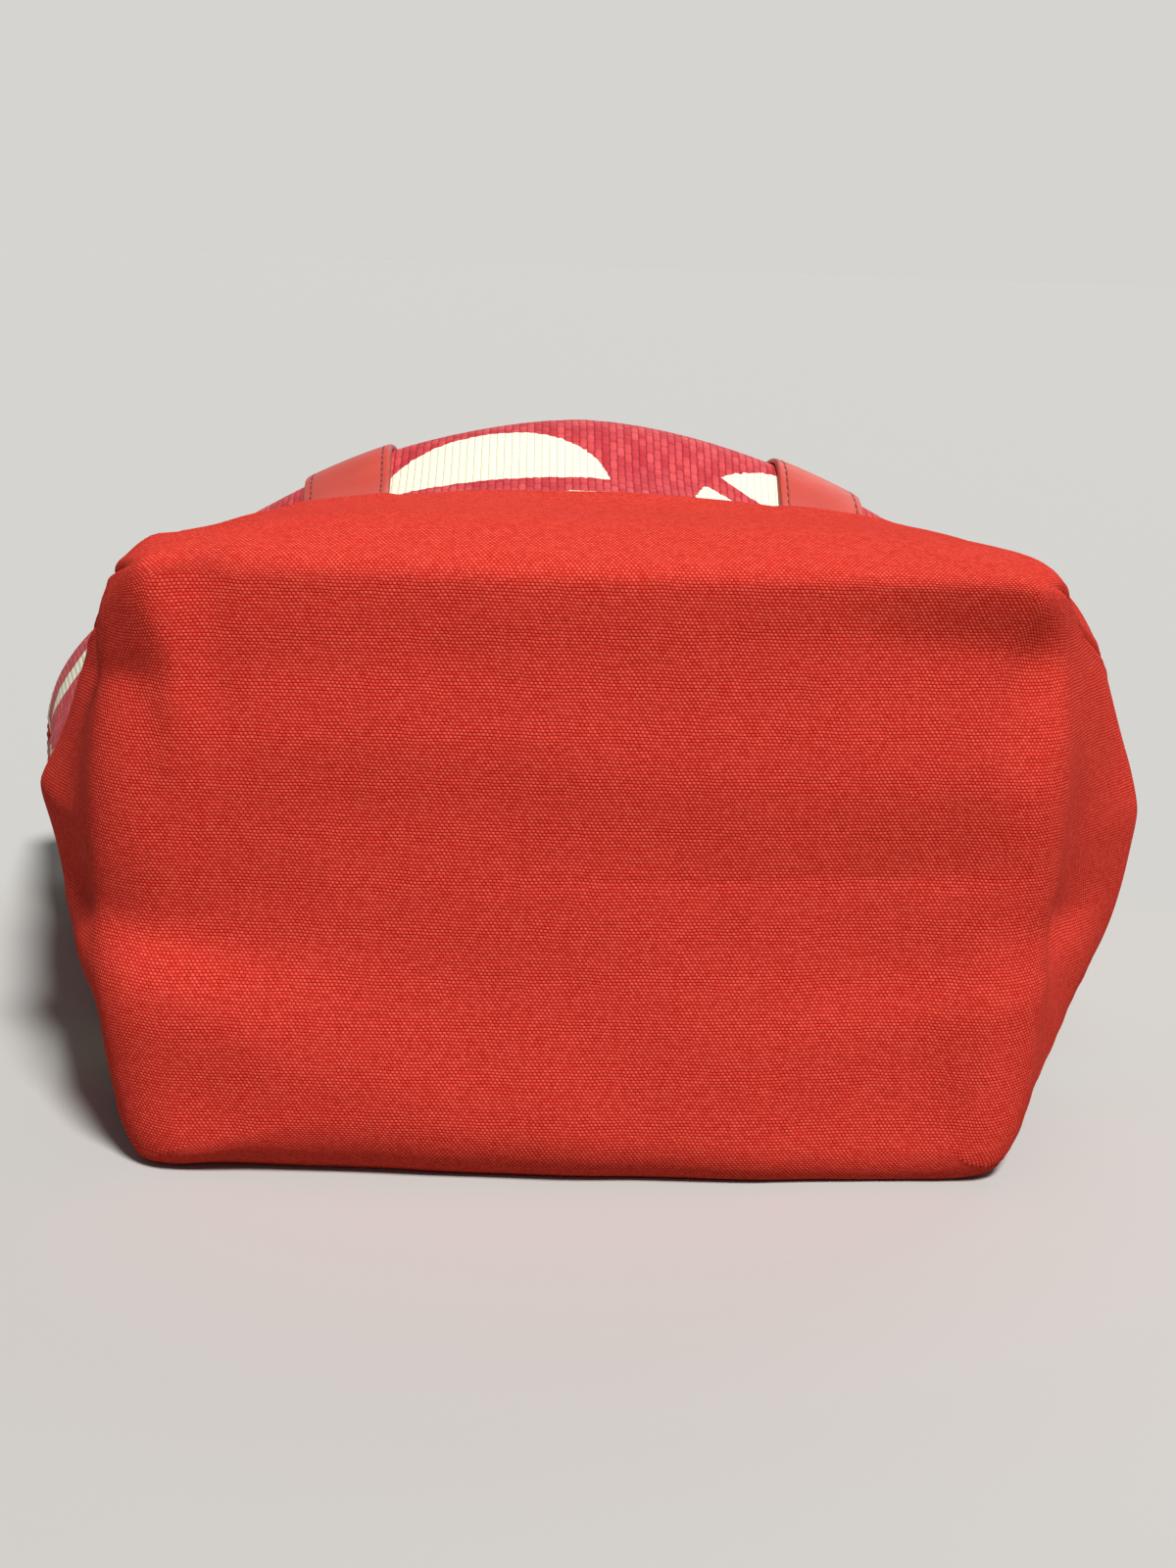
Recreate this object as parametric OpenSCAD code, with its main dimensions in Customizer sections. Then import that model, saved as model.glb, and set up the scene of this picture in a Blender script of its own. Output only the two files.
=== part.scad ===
// Open-top tote bag lying on its back panel: a canvas cup round a flat base, a woven upper
// body, sewn straps that run on into two free handle loops, and a full lining.
// The base faces -Y, the mouth faces +Y, and the back panel rests on z = 0.

/* [Body] */
// Width of the flat base
base_width = 260; // [200:5:340]
// Depth of the base, front to back
base_depth = 184; // [140:2:240]
// Length of the bag from the base to the mouth
body_length = 300; // [260:5:360]
// Height of the canvas cup above the base
cup_height = 80; // [60:5:110]
// Radius of the rolled edge round the base
base_edge_radius = 6; // [4:0.5:9]

/* [Fabric] */
// Thickness of the canvas cup
canvas_thickness = 1.2; // [0.8:0.1:1.6]
// Thickness of the woven upper body
weave_thickness = 1.2; // [0.8:0.1:1.6]
// Thickness of the lining cloth
lining_thickness = 0.5; // [0.4:0.1:0.8]
// Thickness of the stiffening board in the base
board_thickness = 2; // [1.5:0.5:3]
// Clearance between layers of cloth
layer_gap = 0.3; // [0.2:0.05:0.4]

/* [Straps and handles] */
// Width of the strap
strap_width = 28; // [20:1:36]
// Thickness of the strap
strap_thickness = 2.1; // [1.8:0.1:2.2]
// Distance between the centre lines of the two straps on a panel
strap_spacing = 152; // [130:2:170]
// Length of strap tucked under the rim of the cup
strap_tuck = 14; // [8:1:20]
// Reach of each handle loop past the mouth, along the strap
handle_drop = 215; // [200:5:230]

/* [Mouth, pocket and closure] */
// Depth of the facing inside the mouth
facing_depth = 42; // [36:1:60]
// Width of the binding on each side of the mouth edge
binding_width = 12; // [8:1:14]
// Diameter of the magnetic snap
snap_diameter = 16; // [14:1:20]
// Width of the slip pocket
pocket_width = 150; // [110:5:170]
// Depth of the slip pocket
pocket_depth = 120; // [80:5:130]

/* [Hidden] */

canvas_red = [0.80, 0.20, 0.15];
weave_pink = [0.80, 0.20, 0.27];
strap_red = [0.78, 0.20, 0.16];
lining_cream = [0.90, 0.88, 0.80];
board_grey = [0.55, 0.55, 0.53];
snap_silver = [0.78, 0.78, 0.80];

// ---- Form of the body ----
// One row per station: distance from the base over the body length, half width over half
// the base width, top and widest heights over the base depth, and the powers that square
// up the top and bottom halves of the section
FORM = [
    [0.00, 0.985, 0.985, 0.505, 14.0, 14.0],
    [0.03, 1.015, 1.005, 0.505, 13.0, 14.0],
    [0.10, 1.090, 1.030, 0.500, 7.0, 11.0],
    [0.20, 1.205, 1.045, 0.490, 4.0, 7.0],
    [0.30, 1.305, 1.070, 0.485, 2.5, 4.5],
    [0.43, 1.390, 1.135, 0.485, 2.0, 3.6],
    [0.60, 1.455, 1.060, 0.465, 2.0, 3.6],
    [0.80, 1.540, 0.870, 0.390, 2.1, 3.8],
    [1.00, 1.630, 0.640, 0.310, 2.2, 4.0],
];
last_row = len(FORM) - 1;
// How far the section would dip below the surface, were it not pressed flat
floor_dip = 3;

// Depths of the layers below the outer surface of the cup
weave_depth = canvas_thickness * 2;
tape_depth = weave_depth + weave_thickness + layer_gap;
tape_thickness = 0.5;
lining_depth = tape_depth + tape_thickness + layer_gap;
facing_thickness = 0.9;
binding_thickness = 1.1;
// Inward step that makes room for the binding at the mouth
mouth_step = binding_thickness + layer_gap;
step_length = 7;
step_start = body_length - binding_width - step_length - 1;
weave_start = cup_height - 18;
lining_end = body_length - facing_depth;
mouth_edge = body_length - 1.5;
// Between a strap and the binding under it
strap_clear = 0.2;

// Between the end of a strap and the root of its handle
root_gap = 0.7;
total_length = body_length + handle_drop + strap_thickness / 2;
handle_bend = 60;
back_arch_radius = strap_spacing / 2;
front_arch_radius = back_arch_radius - 18;

function smooth(t) = let (u = min(max(t, 0), 1)) u * u * (3 - 2 * u);
function mix(a, b, t) = a + (b - a) * t;

function form_slope(i, k) =
    let (a = max(i - 1, 0), b = min(i + 1, last_row))
    (FORM[b][k] - FORM[a][k]) / (FORM[b][0] - FORM[a][0]);

function form_row(f, i = 0) =
    (i >= last_row - 1 || f < FORM[i + 1][0]) ? i : form_row(f, i + 1);

// Cubic curve through column k of the stations
function form(f, k) =
    let (
        i = form_row(f),
        width = FORM[i + 1][0] - FORM[i][0],
        t = min((f - FORM[i][0]) / width, 1),
        start = FORM[i][k],
        end = FORM[i + 1][k],
        lead = form_slope(i, k) * width,
        trail = form_slope(i + 1, k) * width
    )
    (2 * start - 2 * end + lead + trail) * pow(t, 3)
    + (3 * end - 3 * start - 2 * lead - trail) * pow(t, 2) + lead * t + start;

// Section at distance d from the base: half width, rise above and drop below the widest
// height, that height, and the two powers
function section(d) =
    let (
        f = d / body_length,
        waist = base_depth * form(f, 3)
    )
    [
        base_width / 2 * form(f, 1),
        base_depth * form(f, 2) - waist,
        waist + floor_dip,
        waist,
        form(f, 4),
        form(f, 5),
    ];

// Outward direction of the section at a point of its outline
function outline_normal(s, x, z) =
    let (
        top = z >= s[3],
        power = top ? s[4] : s[5],
        rise = top ? s[1] : s[2],
        nx = sign(x) * pow(abs(x) / s[0], power - 1) / s[0],
        nz = sign(z - s[3]) * pow(abs(z - s[3]) / rise, power - 1) / rise
    )
    z <= 0 ? [0, -1] : [nx, nz] / norm([nx, nz]);

// Point of the body at a turn round the section, moved out by a distance. The turn is 0 at
// the right side, 90 at the top, and 45 at the top right corner of the base.
function skin(d, turn, out = 0) =
    let (
        s = section(d),
        power = sin(turn) >= 0 ? s[4] : s[5],
        rise = sin(turn) >= 0 ? s[1] : s[2],
        reach = pow(pow(abs(cos(turn)), power) + pow(abs(sin(turn)), power), -1 / power),
        x = s[0] * reach * cos(turn),
        z = max(s[3] + rise * reach * sin(turn), 0),
        n = outline_normal(s, x, z)
    )
    [x + out * n.x, d, z + out * n.y];

// Point on the top or bottom of the body at a given x, moved out by a distance
function top_skin(d, x, out = 0) =
    let (
        s = section(d),
        z = s[3] + s[1] * pow(1 - pow(abs(x) / s[0], s[4]), 1 / s[4]),
        n = outline_normal(s, x, z)
    )
    [x + out * n.x, d, z + out * n.y];
function bottom_skin(d, x, out = 0) = [x, d, -out];

// Turns round one quarter of the section, closest together at the corner of the base
corner_turn = 45;
side_steps = 9;
face_steps = 8;
crowding = 1.4;
function quarter_turn(k) =
    k < side_steps
        ? corner_turn * (1 - pow(1 - k / side_steps, crowding))
        : mix(corner_turn, 90, pow((k - side_steps) / face_steps, crowding));
quarter = [for (k = [0 : side_steps + face_steps - 1]) quarter_turn(k)];
quarter_back = [for (k = [side_steps + face_steps : -1 : 1]) 180 - quarter_turn(k)];
half_turn = concat(quarter, quarter_back);
full_turn = concat(half_turn, [for (a = half_turn) a + 180]);
// Half of the slit between the front and back panels at a side seam
seam_slit = 0.3;
front_turn = [for (a = concat(half_turn, [180])) min(max(a, seam_slit), 180 - seam_slit)];
back_turn = [for (a = front_turn) a + 180];

// Distances from the base at which the layers of cloth have rows, so that they nest: those
// round the cup, then those given as shares of the body's length. Fine layers have one more
// row between each two as far as the end of the belly.
body_rows = [for (f = [0.333, 0.387, 0.44, 0.5, 0.617, 0.767]) f * body_length];
main_rows = concat([14, 34, 62, 80], body_rows, [lining_end, step_start]);
belly_end = 0.6 * body_length;
least_spacing = 2;
function cloth_rows(start, end, fine = false) =
    let (
        rows = [
            for (i = [0 : len(main_rows) - 1])
                each fine && main_rows[i] < belly_end
                    ? [main_rows[i], (main_rows[i] + main_rows[i + 1]) / 2]
                    : [main_rows[i]]
        ],
        inside = [for (r = rows) if (r > start + least_spacing && r < end - least_spacing) r],
        step = [step_start + step_length / 2, step_start + step_length]
    )
    concat([start], inside, end > step[1] ? step : [], [end]);

// Depth below the skin of a layer, with the step under the binding
function layer(d, depth) = depth + mouth_step * smooth((d - step_start) / step_length);

// ---- Builders ----
function grid_faces(rows, cols, base, closed, flip) = [
    for (i = [0 : rows - 2], j = [0 : cols - (closed ? 1 : 2)])
        let (
            a = base + i * cols + j,
            b = base + i * cols + (j + 1) % cols,
            c = b + cols,
            d = a + cols
        )
        each flip ? [[a, c, b], [a, d, c]] : [[a, b, c], [a, c, d]]
];

// Middle of a closed row that lies in a plane parallel to the base
function row_middle(row) =
    let (heights = [for (p = row) p[2]])
    [0, row[0][1], (min(heights) + max(heights)) / 2];

// Closed solid between an outer and an inner grid, whose rows run away from the base.
// A full turn is a ring; capped closes its first row into a base.
module shell(outer, inner, ring = true, capped = false) {
    rows = len(outer);
    inner_rows = len(inner);
    cols = len(outer[0]);
    inner_base = rows * cols;
    last = (rows - 1) * cols;
    inner_last = inner_base + (inner_rows - 1) * cols;
    span = cols - (ring ? 1 : 2);
    top_rim = [
        for (j = [0 : span])
            let (k = (j + 1) % cols)
            each [
                [last + j, last + k, inner_last + k],
                [last + j, inner_last + k, inner_last + j],
            ]
    ];
    bottom_rim = [
        for (j = [0 : span])
            let (k = (j + 1) % cols)
            each [[inner_base + j, inner_base + k, k], [inner_base + j, k, j]]
    ];
    hub = inner_base + inner_rows * cols;
    hubs = capped ? [row_middle(outer[0]), row_middle(inner[0])] : [];
    base_caps = [
        for (j = [0 : cols - 1])
            let (k = (j + 1) % cols)
            each [[hub, k, j], [hub + 1, inner_base + j, inner_base + k]]
    ];
    sides = [
        for (i = [0 : rows - 2])
            let (
                a = i * cols,
                b = a + cols,
                ia = inner_base + a,
                ib = inner_base + b,
                e = cols - 1
            )
            each [
                [a, b, ib], [a, ib, ia],
                [ia + e, ib + e, b + e], [ia + e, b + e, a + e],
            ]
    ];
    polyhedron(
        points = concat([for (r = outer) each r], [for (r = inner) each r], hubs),
        faces = concat(
            grid_faces(rows, cols, 0, ring, false),
            grid_faces(inner_rows, cols, inner_base, ring, true),
            top_rim,
            capped ? base_caps : bottom_rim,
            ring ? [] : sides
        )
    );
}

// Solid swept through a list of rings that all have the same number of points
module sweep(rings) {
    count = len(rings);
    sides = len(rings[0]);
    last = (count - 1) * sides;
    polyhedron(
        points = [for (r = rings) each r],
        faces = concat(
            grid_faces(count, sides, 0, true, false),
            [[for (j = [sides - 1 : -1 : 0]) j], [for (j = [0 : sides - 1]) last + j]]
        )
    );
}

// Ring of cloth between two distances from the base
module cloth_ring(start, end, depth, thickness, turn = full_turn, fine = false) {
    rows = cloth_rows(start, end, fine);
    shell(
        [for (d = rows) [for (a = turn) skin(d, a, -layer(d, depth))]],
        [for (d = rows) [for (a = turn) skin(d, a, -layer(d, depth) - thickness)]],
        ring = len(turn) == len(full_turn)
    );
}

// The model's own origin lies under the middle of the whole length
module placed() {
    translate([0, -total_length / 2, 0]) children();
}

// ---- Canvas cup ----
// Rows of the cup: a quarter round at the base edge, then up the sides
function cup_rows(inset) =
    let (
        radius = base_edge_radius - inset * 0.5,
        corner = [for (a = [0 : 30 : 90]) [inset + radius * (1 - cos(a)), radius * (1 - sin(a))]],
        rise_start = inset + radius,
        climb = [0.1, 0.25, 0.42, 0.6, 0.76, 0.88, 1],
        rise = [for (t = climb) [mix(rise_start, cup_height, t), 0]]
    )
    concat(corner, rise);

function cup_grid(inset) = [
    for (r = cup_rows(inset)) [for (a = full_turn) skin(r[0], a, -r[1] - inset)]
];

module base_canvas() {
    color(canvas_red) placed() shell(cup_grid(0), cup_grid(canvas_thickness), capped = true);
}

// Upright plate with round corners, standing parallel to the base
module base_plate(start, thickness, inset, radius) {
    half_w = base_width / 2 - inset;
    low = inset;
    high = base_depth - inset;
    translate([0, start + thickness, 0])
        rotate([90, 0, 0])
            linear_extrude(thickness)
                union() {
                    translate([-half_w + radius, low]) square([2 * (half_w - radius), high - low]);
                    translate([-half_w, low + radius]) square([2 * half_w, high - low - 2 * radius]);
                    for (x = [-1, 1], z = [low + radius, high - radius])
                        translate([x * (half_w - radius), z]) circle(radius, $fn = 48);
                }
}

board_start = canvas_thickness + layer_gap;
lining_base_start = board_start + board_thickness + layer_gap;

module base_board() {
    color(board_grey) placed() base_plate(board_start, board_thickness, 9, 12);
}

// Tape over the seam that closes each corner of the cup; the seam leans to the side
// as it climbs
module corner_seam_tapes() {
    half_tape = 2.2;
    rows = [for (i = [0 : 5]) mix(14, cup_height - 22, i / 5)];
    depth = canvas_thickness + 1;
    color(canvas_red) placed()
        for (side = [0, 1], low = [0, 1])
            let (
                turn = [for (k = [-2 : 2]) k * half_tape / 2],
                outer = seam_grid(side, low, rows, turn, depth),
                inner = seam_grid(side, low, rows, turn, depth + tape_thickness)
            )
            if (side == low) shell(outer, inner, ring = false);
            else shell(inner, outer, ring = false);
}

// Grid of points along one corner seam, mirrored for the other three corners
seam_lean = 0.62;
function seam_grid(side, low, rows, turn, depth) = [
    for (d = rows)
        [
            for (k = turn)
                let (
                    climb = corner_turn * mix(1, seam_lean, d / cup_height) + k,
                    upward = low == 0 ? climb : -climb
                )
                skin(d, side == 0 ? upward : 180 - upward, -depth)
        ]
];

// ---- Woven upper body ----
module front_panel() {
    color(weave_pink) placed()
        cloth_ring(weave_start, mouth_edge, weave_depth, weave_thickness, front_turn, fine = true);
}

module back_panel() {
    color(weave_pink) placed()
        cloth_ring(weave_start, mouth_edge, weave_depth, weave_thickness, back_turn);
}

// Tape over the raw edges of one side seam
tape_turn = 4;
module seam_tape(centre) {
    turn = [for (k = [-1 : 1]) centre + k * tape_turn];
    color(lining_cream) placed()
        cloth_ring(weave_start, step_start, tape_depth, tape_thickness, turn);
}

module left_seam_tape() { seam_tape(180); }

module right_seam_tape() { seam_tape(0); }

// ---- Lining ----
module lining_body() {
    color(lining_cream) placed()
        cloth_ring(
            lining_base_start + lining_thickness + layer_gap, lining_end,
            lining_depth, lining_thickness
        );
}

module lining_base() {
    color(lining_cream) placed() base_plate(lining_base_start, lining_thickness, 8, 12);
}

// ---- Mouth ----
module mouth_facing() {
    color(canvas_red) placed()
        cloth_ring(lining_end + layer_gap, mouth_edge, lining_depth, facing_thickness);
}

// Folded strip that wraps the mouth edge, with an outer and an inner leaf
module mouth_binding() {
    outer_top = strap_thickness + strap_clear;
    outer_low = outer_top + binding_thickness;
    inner_low = mouth_step + lining_depth + facing_thickness + layer_gap;
    inner_top = inner_low + binding_thickness;
    start = body_length - binding_width;
    end = body_length + 0.1;
    profile_outer = [
        [start, outer_top], [end - 0.6, outer_top], [end, outer_top + 0.6],
        [end, inner_top - 0.6], [end - 0.6, inner_top], [start, inner_top],
    ];
    fold = mouth_edge + layer_gap;
    profile_inner = [
        [start, outer_low], [fold - 0.2, outer_low], [fold, outer_low + 0.3],
        [fold, inner_low - 0.3], [fold - 0.2, inner_low], [start, inner_low],
    ];
    color(canvas_red) placed()
        shell(
            [for (p = profile_outer) [for (a = full_turn) skin(p[0], a, -p[1])]],
            [for (p = profile_inner) [for (a = full_turn) skin(p[0], a, -p[1])]]
        );
}

// ---- Straps ----
// Distances from the base and depths of the strap's two faces: the end under the rim is
// pared down, and the rest lies level with the cup
tuck_depth = strap_thickness - 0.5;
rim = cup_height + layer_gap;
strap_rows = concat(
    [[cup_height - strap_tuck, tuck_depth], [rim, tuck_depth]],
    [for (d = cloth_rows(rim + 0.8, step_start, fine = true)) [d, 0]],
    [[body_length, 0]]
);
strap_columns = [-0.5, -0.25, 0, 0.25, 0.5];

module top_strap(side) {
    xs = [for (c = strap_columns) side * strap_spacing / 2 - c * strap_width];
    color(strap_red) placed()
        shell(
            [for (r = strap_rows) [for (x = xs) top_skin(r[0], x, -r[1])]],
            [for (r = strap_rows) [for (x = xs) top_skin(r[0], x, -strap_thickness)]],
            ring = false
        );
}

module bottom_strap(side) {
    x = side * strap_spacing / 2 - strap_width / 2;
    start = cup_height - strap_tuck;
    color(strap_red) placed()
        translate([x, 0, 0])
            rotate([90, 0, 90])
                linear_extrude(strap_width)
                    polygon([
                        [start, tuck_depth], [rim, tuck_depth], [rim + 0.1, 0],
                        [body_length, 0], [body_length, strap_thickness], [start, strap_thickness],
                    ]);
}

module front_strap_left() { top_strap(-1); }

module front_strap_right() { top_strap(1); }

module back_strap_left() { bottom_strap(-1); }

module back_strap_right() { bottom_strap(1); }

// ---- Handles ----
// Each handle is the strap's free loop. It leaves the mouth flat, turns on edge along each
// leg, and bends round an arch on edge.
handle_steps = 14;
arch_steps = 16;

// Flat pattern of a loop: distance across, distance from the mouth, heading of the strap,
// and how far it has turned on edge, from 0 to 1
function loop_plan(arch_radius) =
    let (
        leg = handle_drop - arch_radius,
        half = strap_spacing / 2,
        out = [
            for (i = [0 : handle_steps - 1])
                let (t = i / handle_steps)
                [-mix(half, arch_radius, smooth(t)), t * leg, 90, smooth(t)]
        ],
        arch = [
            for (i = [0 : arch_steps])
                let (a = 180 - 180 * i / arch_steps)
                [arch_radius * cos(a), leg + arch_radius * sin(a), a - 90, 1]
        ],
        back = [
            for (i = [handle_steps - 1 : -1 : 0])
                [-out[i][0], out[i][1], -90, out[i][3]]
        ]
    )
    concat(out, arch, back);

// Section of the strap as distances across its width and through its thickness
strap_edge = 0.5;
strap_section = [
    for (c = [[1, 1], [-1, 1], [-1, -1], [1, -1]])
        let (w = strap_width / 2, t = strap_thickness / 2, first = c[0] * c[1] > 0)
        each first
            ? [[c[0] * w, c[1] * (t - strap_edge)], [c[0] * (w - strap_edge), c[1] * t]]
            : [[c[0] * (w - strap_edge), c[1] * t], [c[0] * w, c[1] * (t - strap_edge)]]
];

// One ring of a handle. The line that carries its lower edge is given as a point and a
// slope in the side view, and tilt is the strap's turn at the mouth.
function handle_ring(plan, line, tilt) =
    let (
        turn = mix(tilt, 90, plan[3]),
        slope = line[2],
        along = [0, cos(slope), sin(slope)],
        up = [0, -sin(slope), cos(slope)],
        heading = plan[2],
        outward = [-sin(heading), 0, 0] + cos(heading) * along,
        ahead = [cos(heading), 0, 0] + sin(heading) * along,
        normal = cos(turn) * up + sin(turn) * outward,
        across = cross(ahead, normal),
        lift = strap_width / 2 * sin(turn) + strap_thickness / 2 * cos(turn),
        centre = [plan[0], line[0], line[1]] + lift * up
    )
    [for (p = strap_section) centre + p[0] * across + p[1] * normal];

// Side view of the front handle: down in line with the panel, round a bend, then along
// the surface
mouth_slope = atan(
    (top_skin(body_length - 2, 0)[2] - top_skin(body_length, 0)[2]) / 2
);
front_root = top_skin(body_length, strap_spacing / 2, -strap_thickness / 2);
front_tilt = atan(
    (top_skin(body_length, (strap_spacing - strap_width) / 2)[2]
        - top_skin(body_length, (strap_spacing + strap_width) / 2)[2]) / strap_width
);
front_lift = strap_width / 2 * sin(front_tilt) + strap_thickness / 2 * cos(front_tilt);
front_reach = root_gap + strap_thickness / 2 * sin(mouth_slope);
droop_rest = 0.4;
droop_start = [
    body_length + front_reach - front_lift * sin(mouth_slope),
    front_root[2] - front_reach * tan(mouth_slope) - front_lift * cos(mouth_slope) - droop_rest,
];
droop_straight = (droop_start[1] - handle_bend * (1 - cos(mouth_slope))) / sin(mouth_slope);
droop_arc = handle_bend * mouth_slope * PI / 180;

function droop(v) =
    v < droop_straight
        ? [
            droop_start[0] + v * cos(mouth_slope),
            droop_start[1] + droop_rest - v * sin(mouth_slope),
            -mouth_slope,
        ]
        : let (
            arc = min(v - droop_straight, droop_arc),
            left = mouth_slope - arc / handle_bend * 180 / PI,
            flat = max(v - droop_straight - droop_arc, 0)
        )
        [
            droop_start[0] + droop_straight * cos(mouth_slope)
                + handle_bend * (sin(mouth_slope) - sin(left)) + flat,
            droop_rest + handle_bend * (1 - cos(left)),
            -left,
        ];

module front_handle() {
    color(strap_red) placed()
        sweep([for (p = loop_plan(front_arch_radius)) handle_ring(p, droop(p[1]), front_tilt)]);
}

module back_handle() {
    // The gap at the root is taken up along the leg
    function reach(v) = body_length + root_gap + v * (1 - root_gap / handle_drop);
    color(strap_red) placed()
        sweep([for (p = loop_plan(back_arch_radius)) handle_ring(p, [reach(p[1]), 0, 0], 0)]);
}

// ---- Pocket ----
pocket_level = lining_depth + lining_thickness + layer_gap + 0.5;
pocket_thickness = 0.5;
pocket_mouth = lining_end - 6;
pocket_hem = 10;
// Cloth at the fold of the pocket's binding
fold_thickness = 0.5;

module pocket_panel() {
    color(lining_cream) placed()
        translate([-pocket_width / 2, pocket_mouth - pocket_depth, pocket_level])
            cube([pocket_width, pocket_depth - 1, pocket_thickness]);
}

module pocket_binding() {
    leaf = 0.4;
    channel = pocket_thickness + 0.2;
    channel_level = pocket_level - 0.1;
    start = pocket_mouth - pocket_hem;
    color(canvas_red) placed()
        translate([-pocket_width / 2, 0, 0])
            rotate([90, 0, 90])
                linear_extrude(pocket_width)
                    difference() {
                        translate([start, channel_level - leaf])
                            square([pocket_hem, channel + 2 * leaf]);
                        translate([start - 1, channel_level])
                            square([pocket_hem + 1 - fold_thickness, channel]);
                    }
}

// ---- Magnetic snap ----
snap_distance = body_length - 30;
snap_post = 4;

// Puts children on the inner face of the facing at the middle of the front or back,
// with +Z pointing into the bag
module on_facing(front, depth) {
    point = front ? top_skin(snap_distance, 0, -depth) : bottom_skin(snap_distance, 0, -depth);
    slope = front
        ? atan((top_skin(snap_distance + 1, 0)[2] - top_skin(snap_distance - 1, 0)[2]) / 2)
        : 0;
    translate(point) rotate([front ? 180 + slope : 0, 0, 0]) children();
}

snap_seat = lining_depth + facing_thickness + 0.15;
washer_seat = weave_depth + weave_thickness + 0.25;

module snap_socket() {
    color(snap_silver) placed()
        on_facing(true, snap_seat + 0.35)
            difference() {
                cylinder(h = 3.2, d = snap_diameter, $fn = 48);
                translate([0, 0, 1.4]) cylinder(h = 2, d = snap_post + 0.4, $fn = 32);
            }
}

module snap_stud() {
    color(snap_silver) placed()
        on_facing(false, snap_seat) {
            cylinder(h = 1.6, d = snap_diameter, $fn = 48);
            translate([0, 0, 1.6]) cylinder(h = 1.6, d = snap_post, $fn = 32);
        }
}

module snap_washer(front) {
    color(snap_silver) placed()
        on_facing(front, washer_seat)
            cylinder(h = 0.5, d = snap_diameter - 3, $fn = 48);
}

module snap_socket_washer() { snap_washer(true); }

module snap_stud_washer() { snap_washer(false); }

base_canvas();
base_board();
corner_seam_tapes();
front_panel();
back_panel();
left_seam_tape();
right_seam_tape();
lining_body();
lining_base();
mouth_facing();
mouth_binding();
front_strap_left();
front_strap_right();
back_strap_left();
back_strap_right();
front_handle();
back_handle();
pocket_panel();
pocket_binding();
snap_socket();
snap_socket_washer();
snap_stud();
snap_stud_washer();
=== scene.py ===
from math import atan, cos, hypot, pi, radians, sin, tan

import bpy
import numpy as np
from mathutils import Matrix, Vector


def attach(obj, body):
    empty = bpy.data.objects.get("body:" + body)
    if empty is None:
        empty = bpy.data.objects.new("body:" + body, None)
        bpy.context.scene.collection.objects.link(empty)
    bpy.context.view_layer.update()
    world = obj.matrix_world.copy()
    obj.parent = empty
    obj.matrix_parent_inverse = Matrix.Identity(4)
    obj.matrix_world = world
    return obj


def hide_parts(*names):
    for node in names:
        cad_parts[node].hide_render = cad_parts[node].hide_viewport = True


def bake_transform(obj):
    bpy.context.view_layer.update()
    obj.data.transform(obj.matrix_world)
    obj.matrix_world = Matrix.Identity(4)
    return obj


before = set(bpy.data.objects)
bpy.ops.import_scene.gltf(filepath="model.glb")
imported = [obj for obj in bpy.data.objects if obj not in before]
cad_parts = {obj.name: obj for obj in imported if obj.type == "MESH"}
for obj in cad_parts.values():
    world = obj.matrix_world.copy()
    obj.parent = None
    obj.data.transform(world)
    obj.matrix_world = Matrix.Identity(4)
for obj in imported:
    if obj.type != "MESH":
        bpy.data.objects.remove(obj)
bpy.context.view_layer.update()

# The bag's cloth, straps and lining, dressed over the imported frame. Lengths are in
# millimetres, with y the distance from the base plane, until place() turns them into metres
# in the frame's own axes. "Depth" is the distance below the outer surface of the cup.

# ---- Sizes, as in the construction ----
BASE_WIDTH, BASE_DEPTH, BODY_LENGTH = 260, 184, 300
CUP_HEIGHT = 80
HEM = 2.4
WEAVE_DEPTH = 2.4
WEAVE_START = 62
SEAM_TAPE_DEPTH = 4.1
LINING_DEPTH, LINING_END = 5.2, 258
LINING_FLOOR, LINING_RINGS, BOARD_THICKNESS = 4.0, 18, 1.6
FACING_DEPTH, MOUTH_EDGE = 5.6, 298.5
BINDING_START = 288
STEP_START, STEP_LENGTH, MOUTH_STEP = 280, 7, 1.4
STRAP_WIDTH, STRAP_THICKNESS, STRAP_SPACING, STRAP_TUCK = 28, 2.1, 152, 14
HANDLE_DROP, HANDLE_BEND, ROOT_GAP = 215, 60, 0.7
BACK_ARCH = STRAP_SPACING / 2
FRONT_ARCH = BACK_ARCH - 18
POCKET_WIDTH, POCKET_DEPTH, POCKET_MOUTH, POCKET_LEVEL = 150, 120, 252, 6.0
SEAM_INSET = 3
TOTAL_LENGTH = BODY_LENGTH + HANDLE_DROP + STRAP_THICKNESS / 2
# How far the section reaches below the floor before it is cut off flat there
FLOOR_DIP = 3
# Height at which the handle rests above the floor
STRAP_REST = 0.4
# Lowest height of the woven panels, and how far their side seams are drawn in, and over what
PANEL_LIFT, SEAM_DRAW, SEAM_DRAW_REACH = 2.3, 1.3, 1.6

# Distance from the base over the length, half width over half the base width, top and widest
# heights over the base depth, and the powers of the top and bottom halves of the section
FORM = np.array([
    [0, 0.985, 0.985, 0.505, 14, 14],
    [0.03, 1.015, 1.005, 0.505, 13, 14],
    [0.10, 1.090, 1.030, 0.500, 7, 11],
    [0.20, 1.205, 1.045, 0.490, 4, 7],
    [0.30, 1.305, 1.070, 0.485, 2.5, 4.5],
    [0.43, 1.390, 1.135, 0.485, 2, 3.6],
    [0.60, 1.455, 1.060, 0.465, 2, 3.6],
    [0.80, 1.540, 0.870, 0.390, 2.1, 3.8],
    [1.00, 1.630, 0.640, 0.310, 2.2, 4],
])
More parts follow.
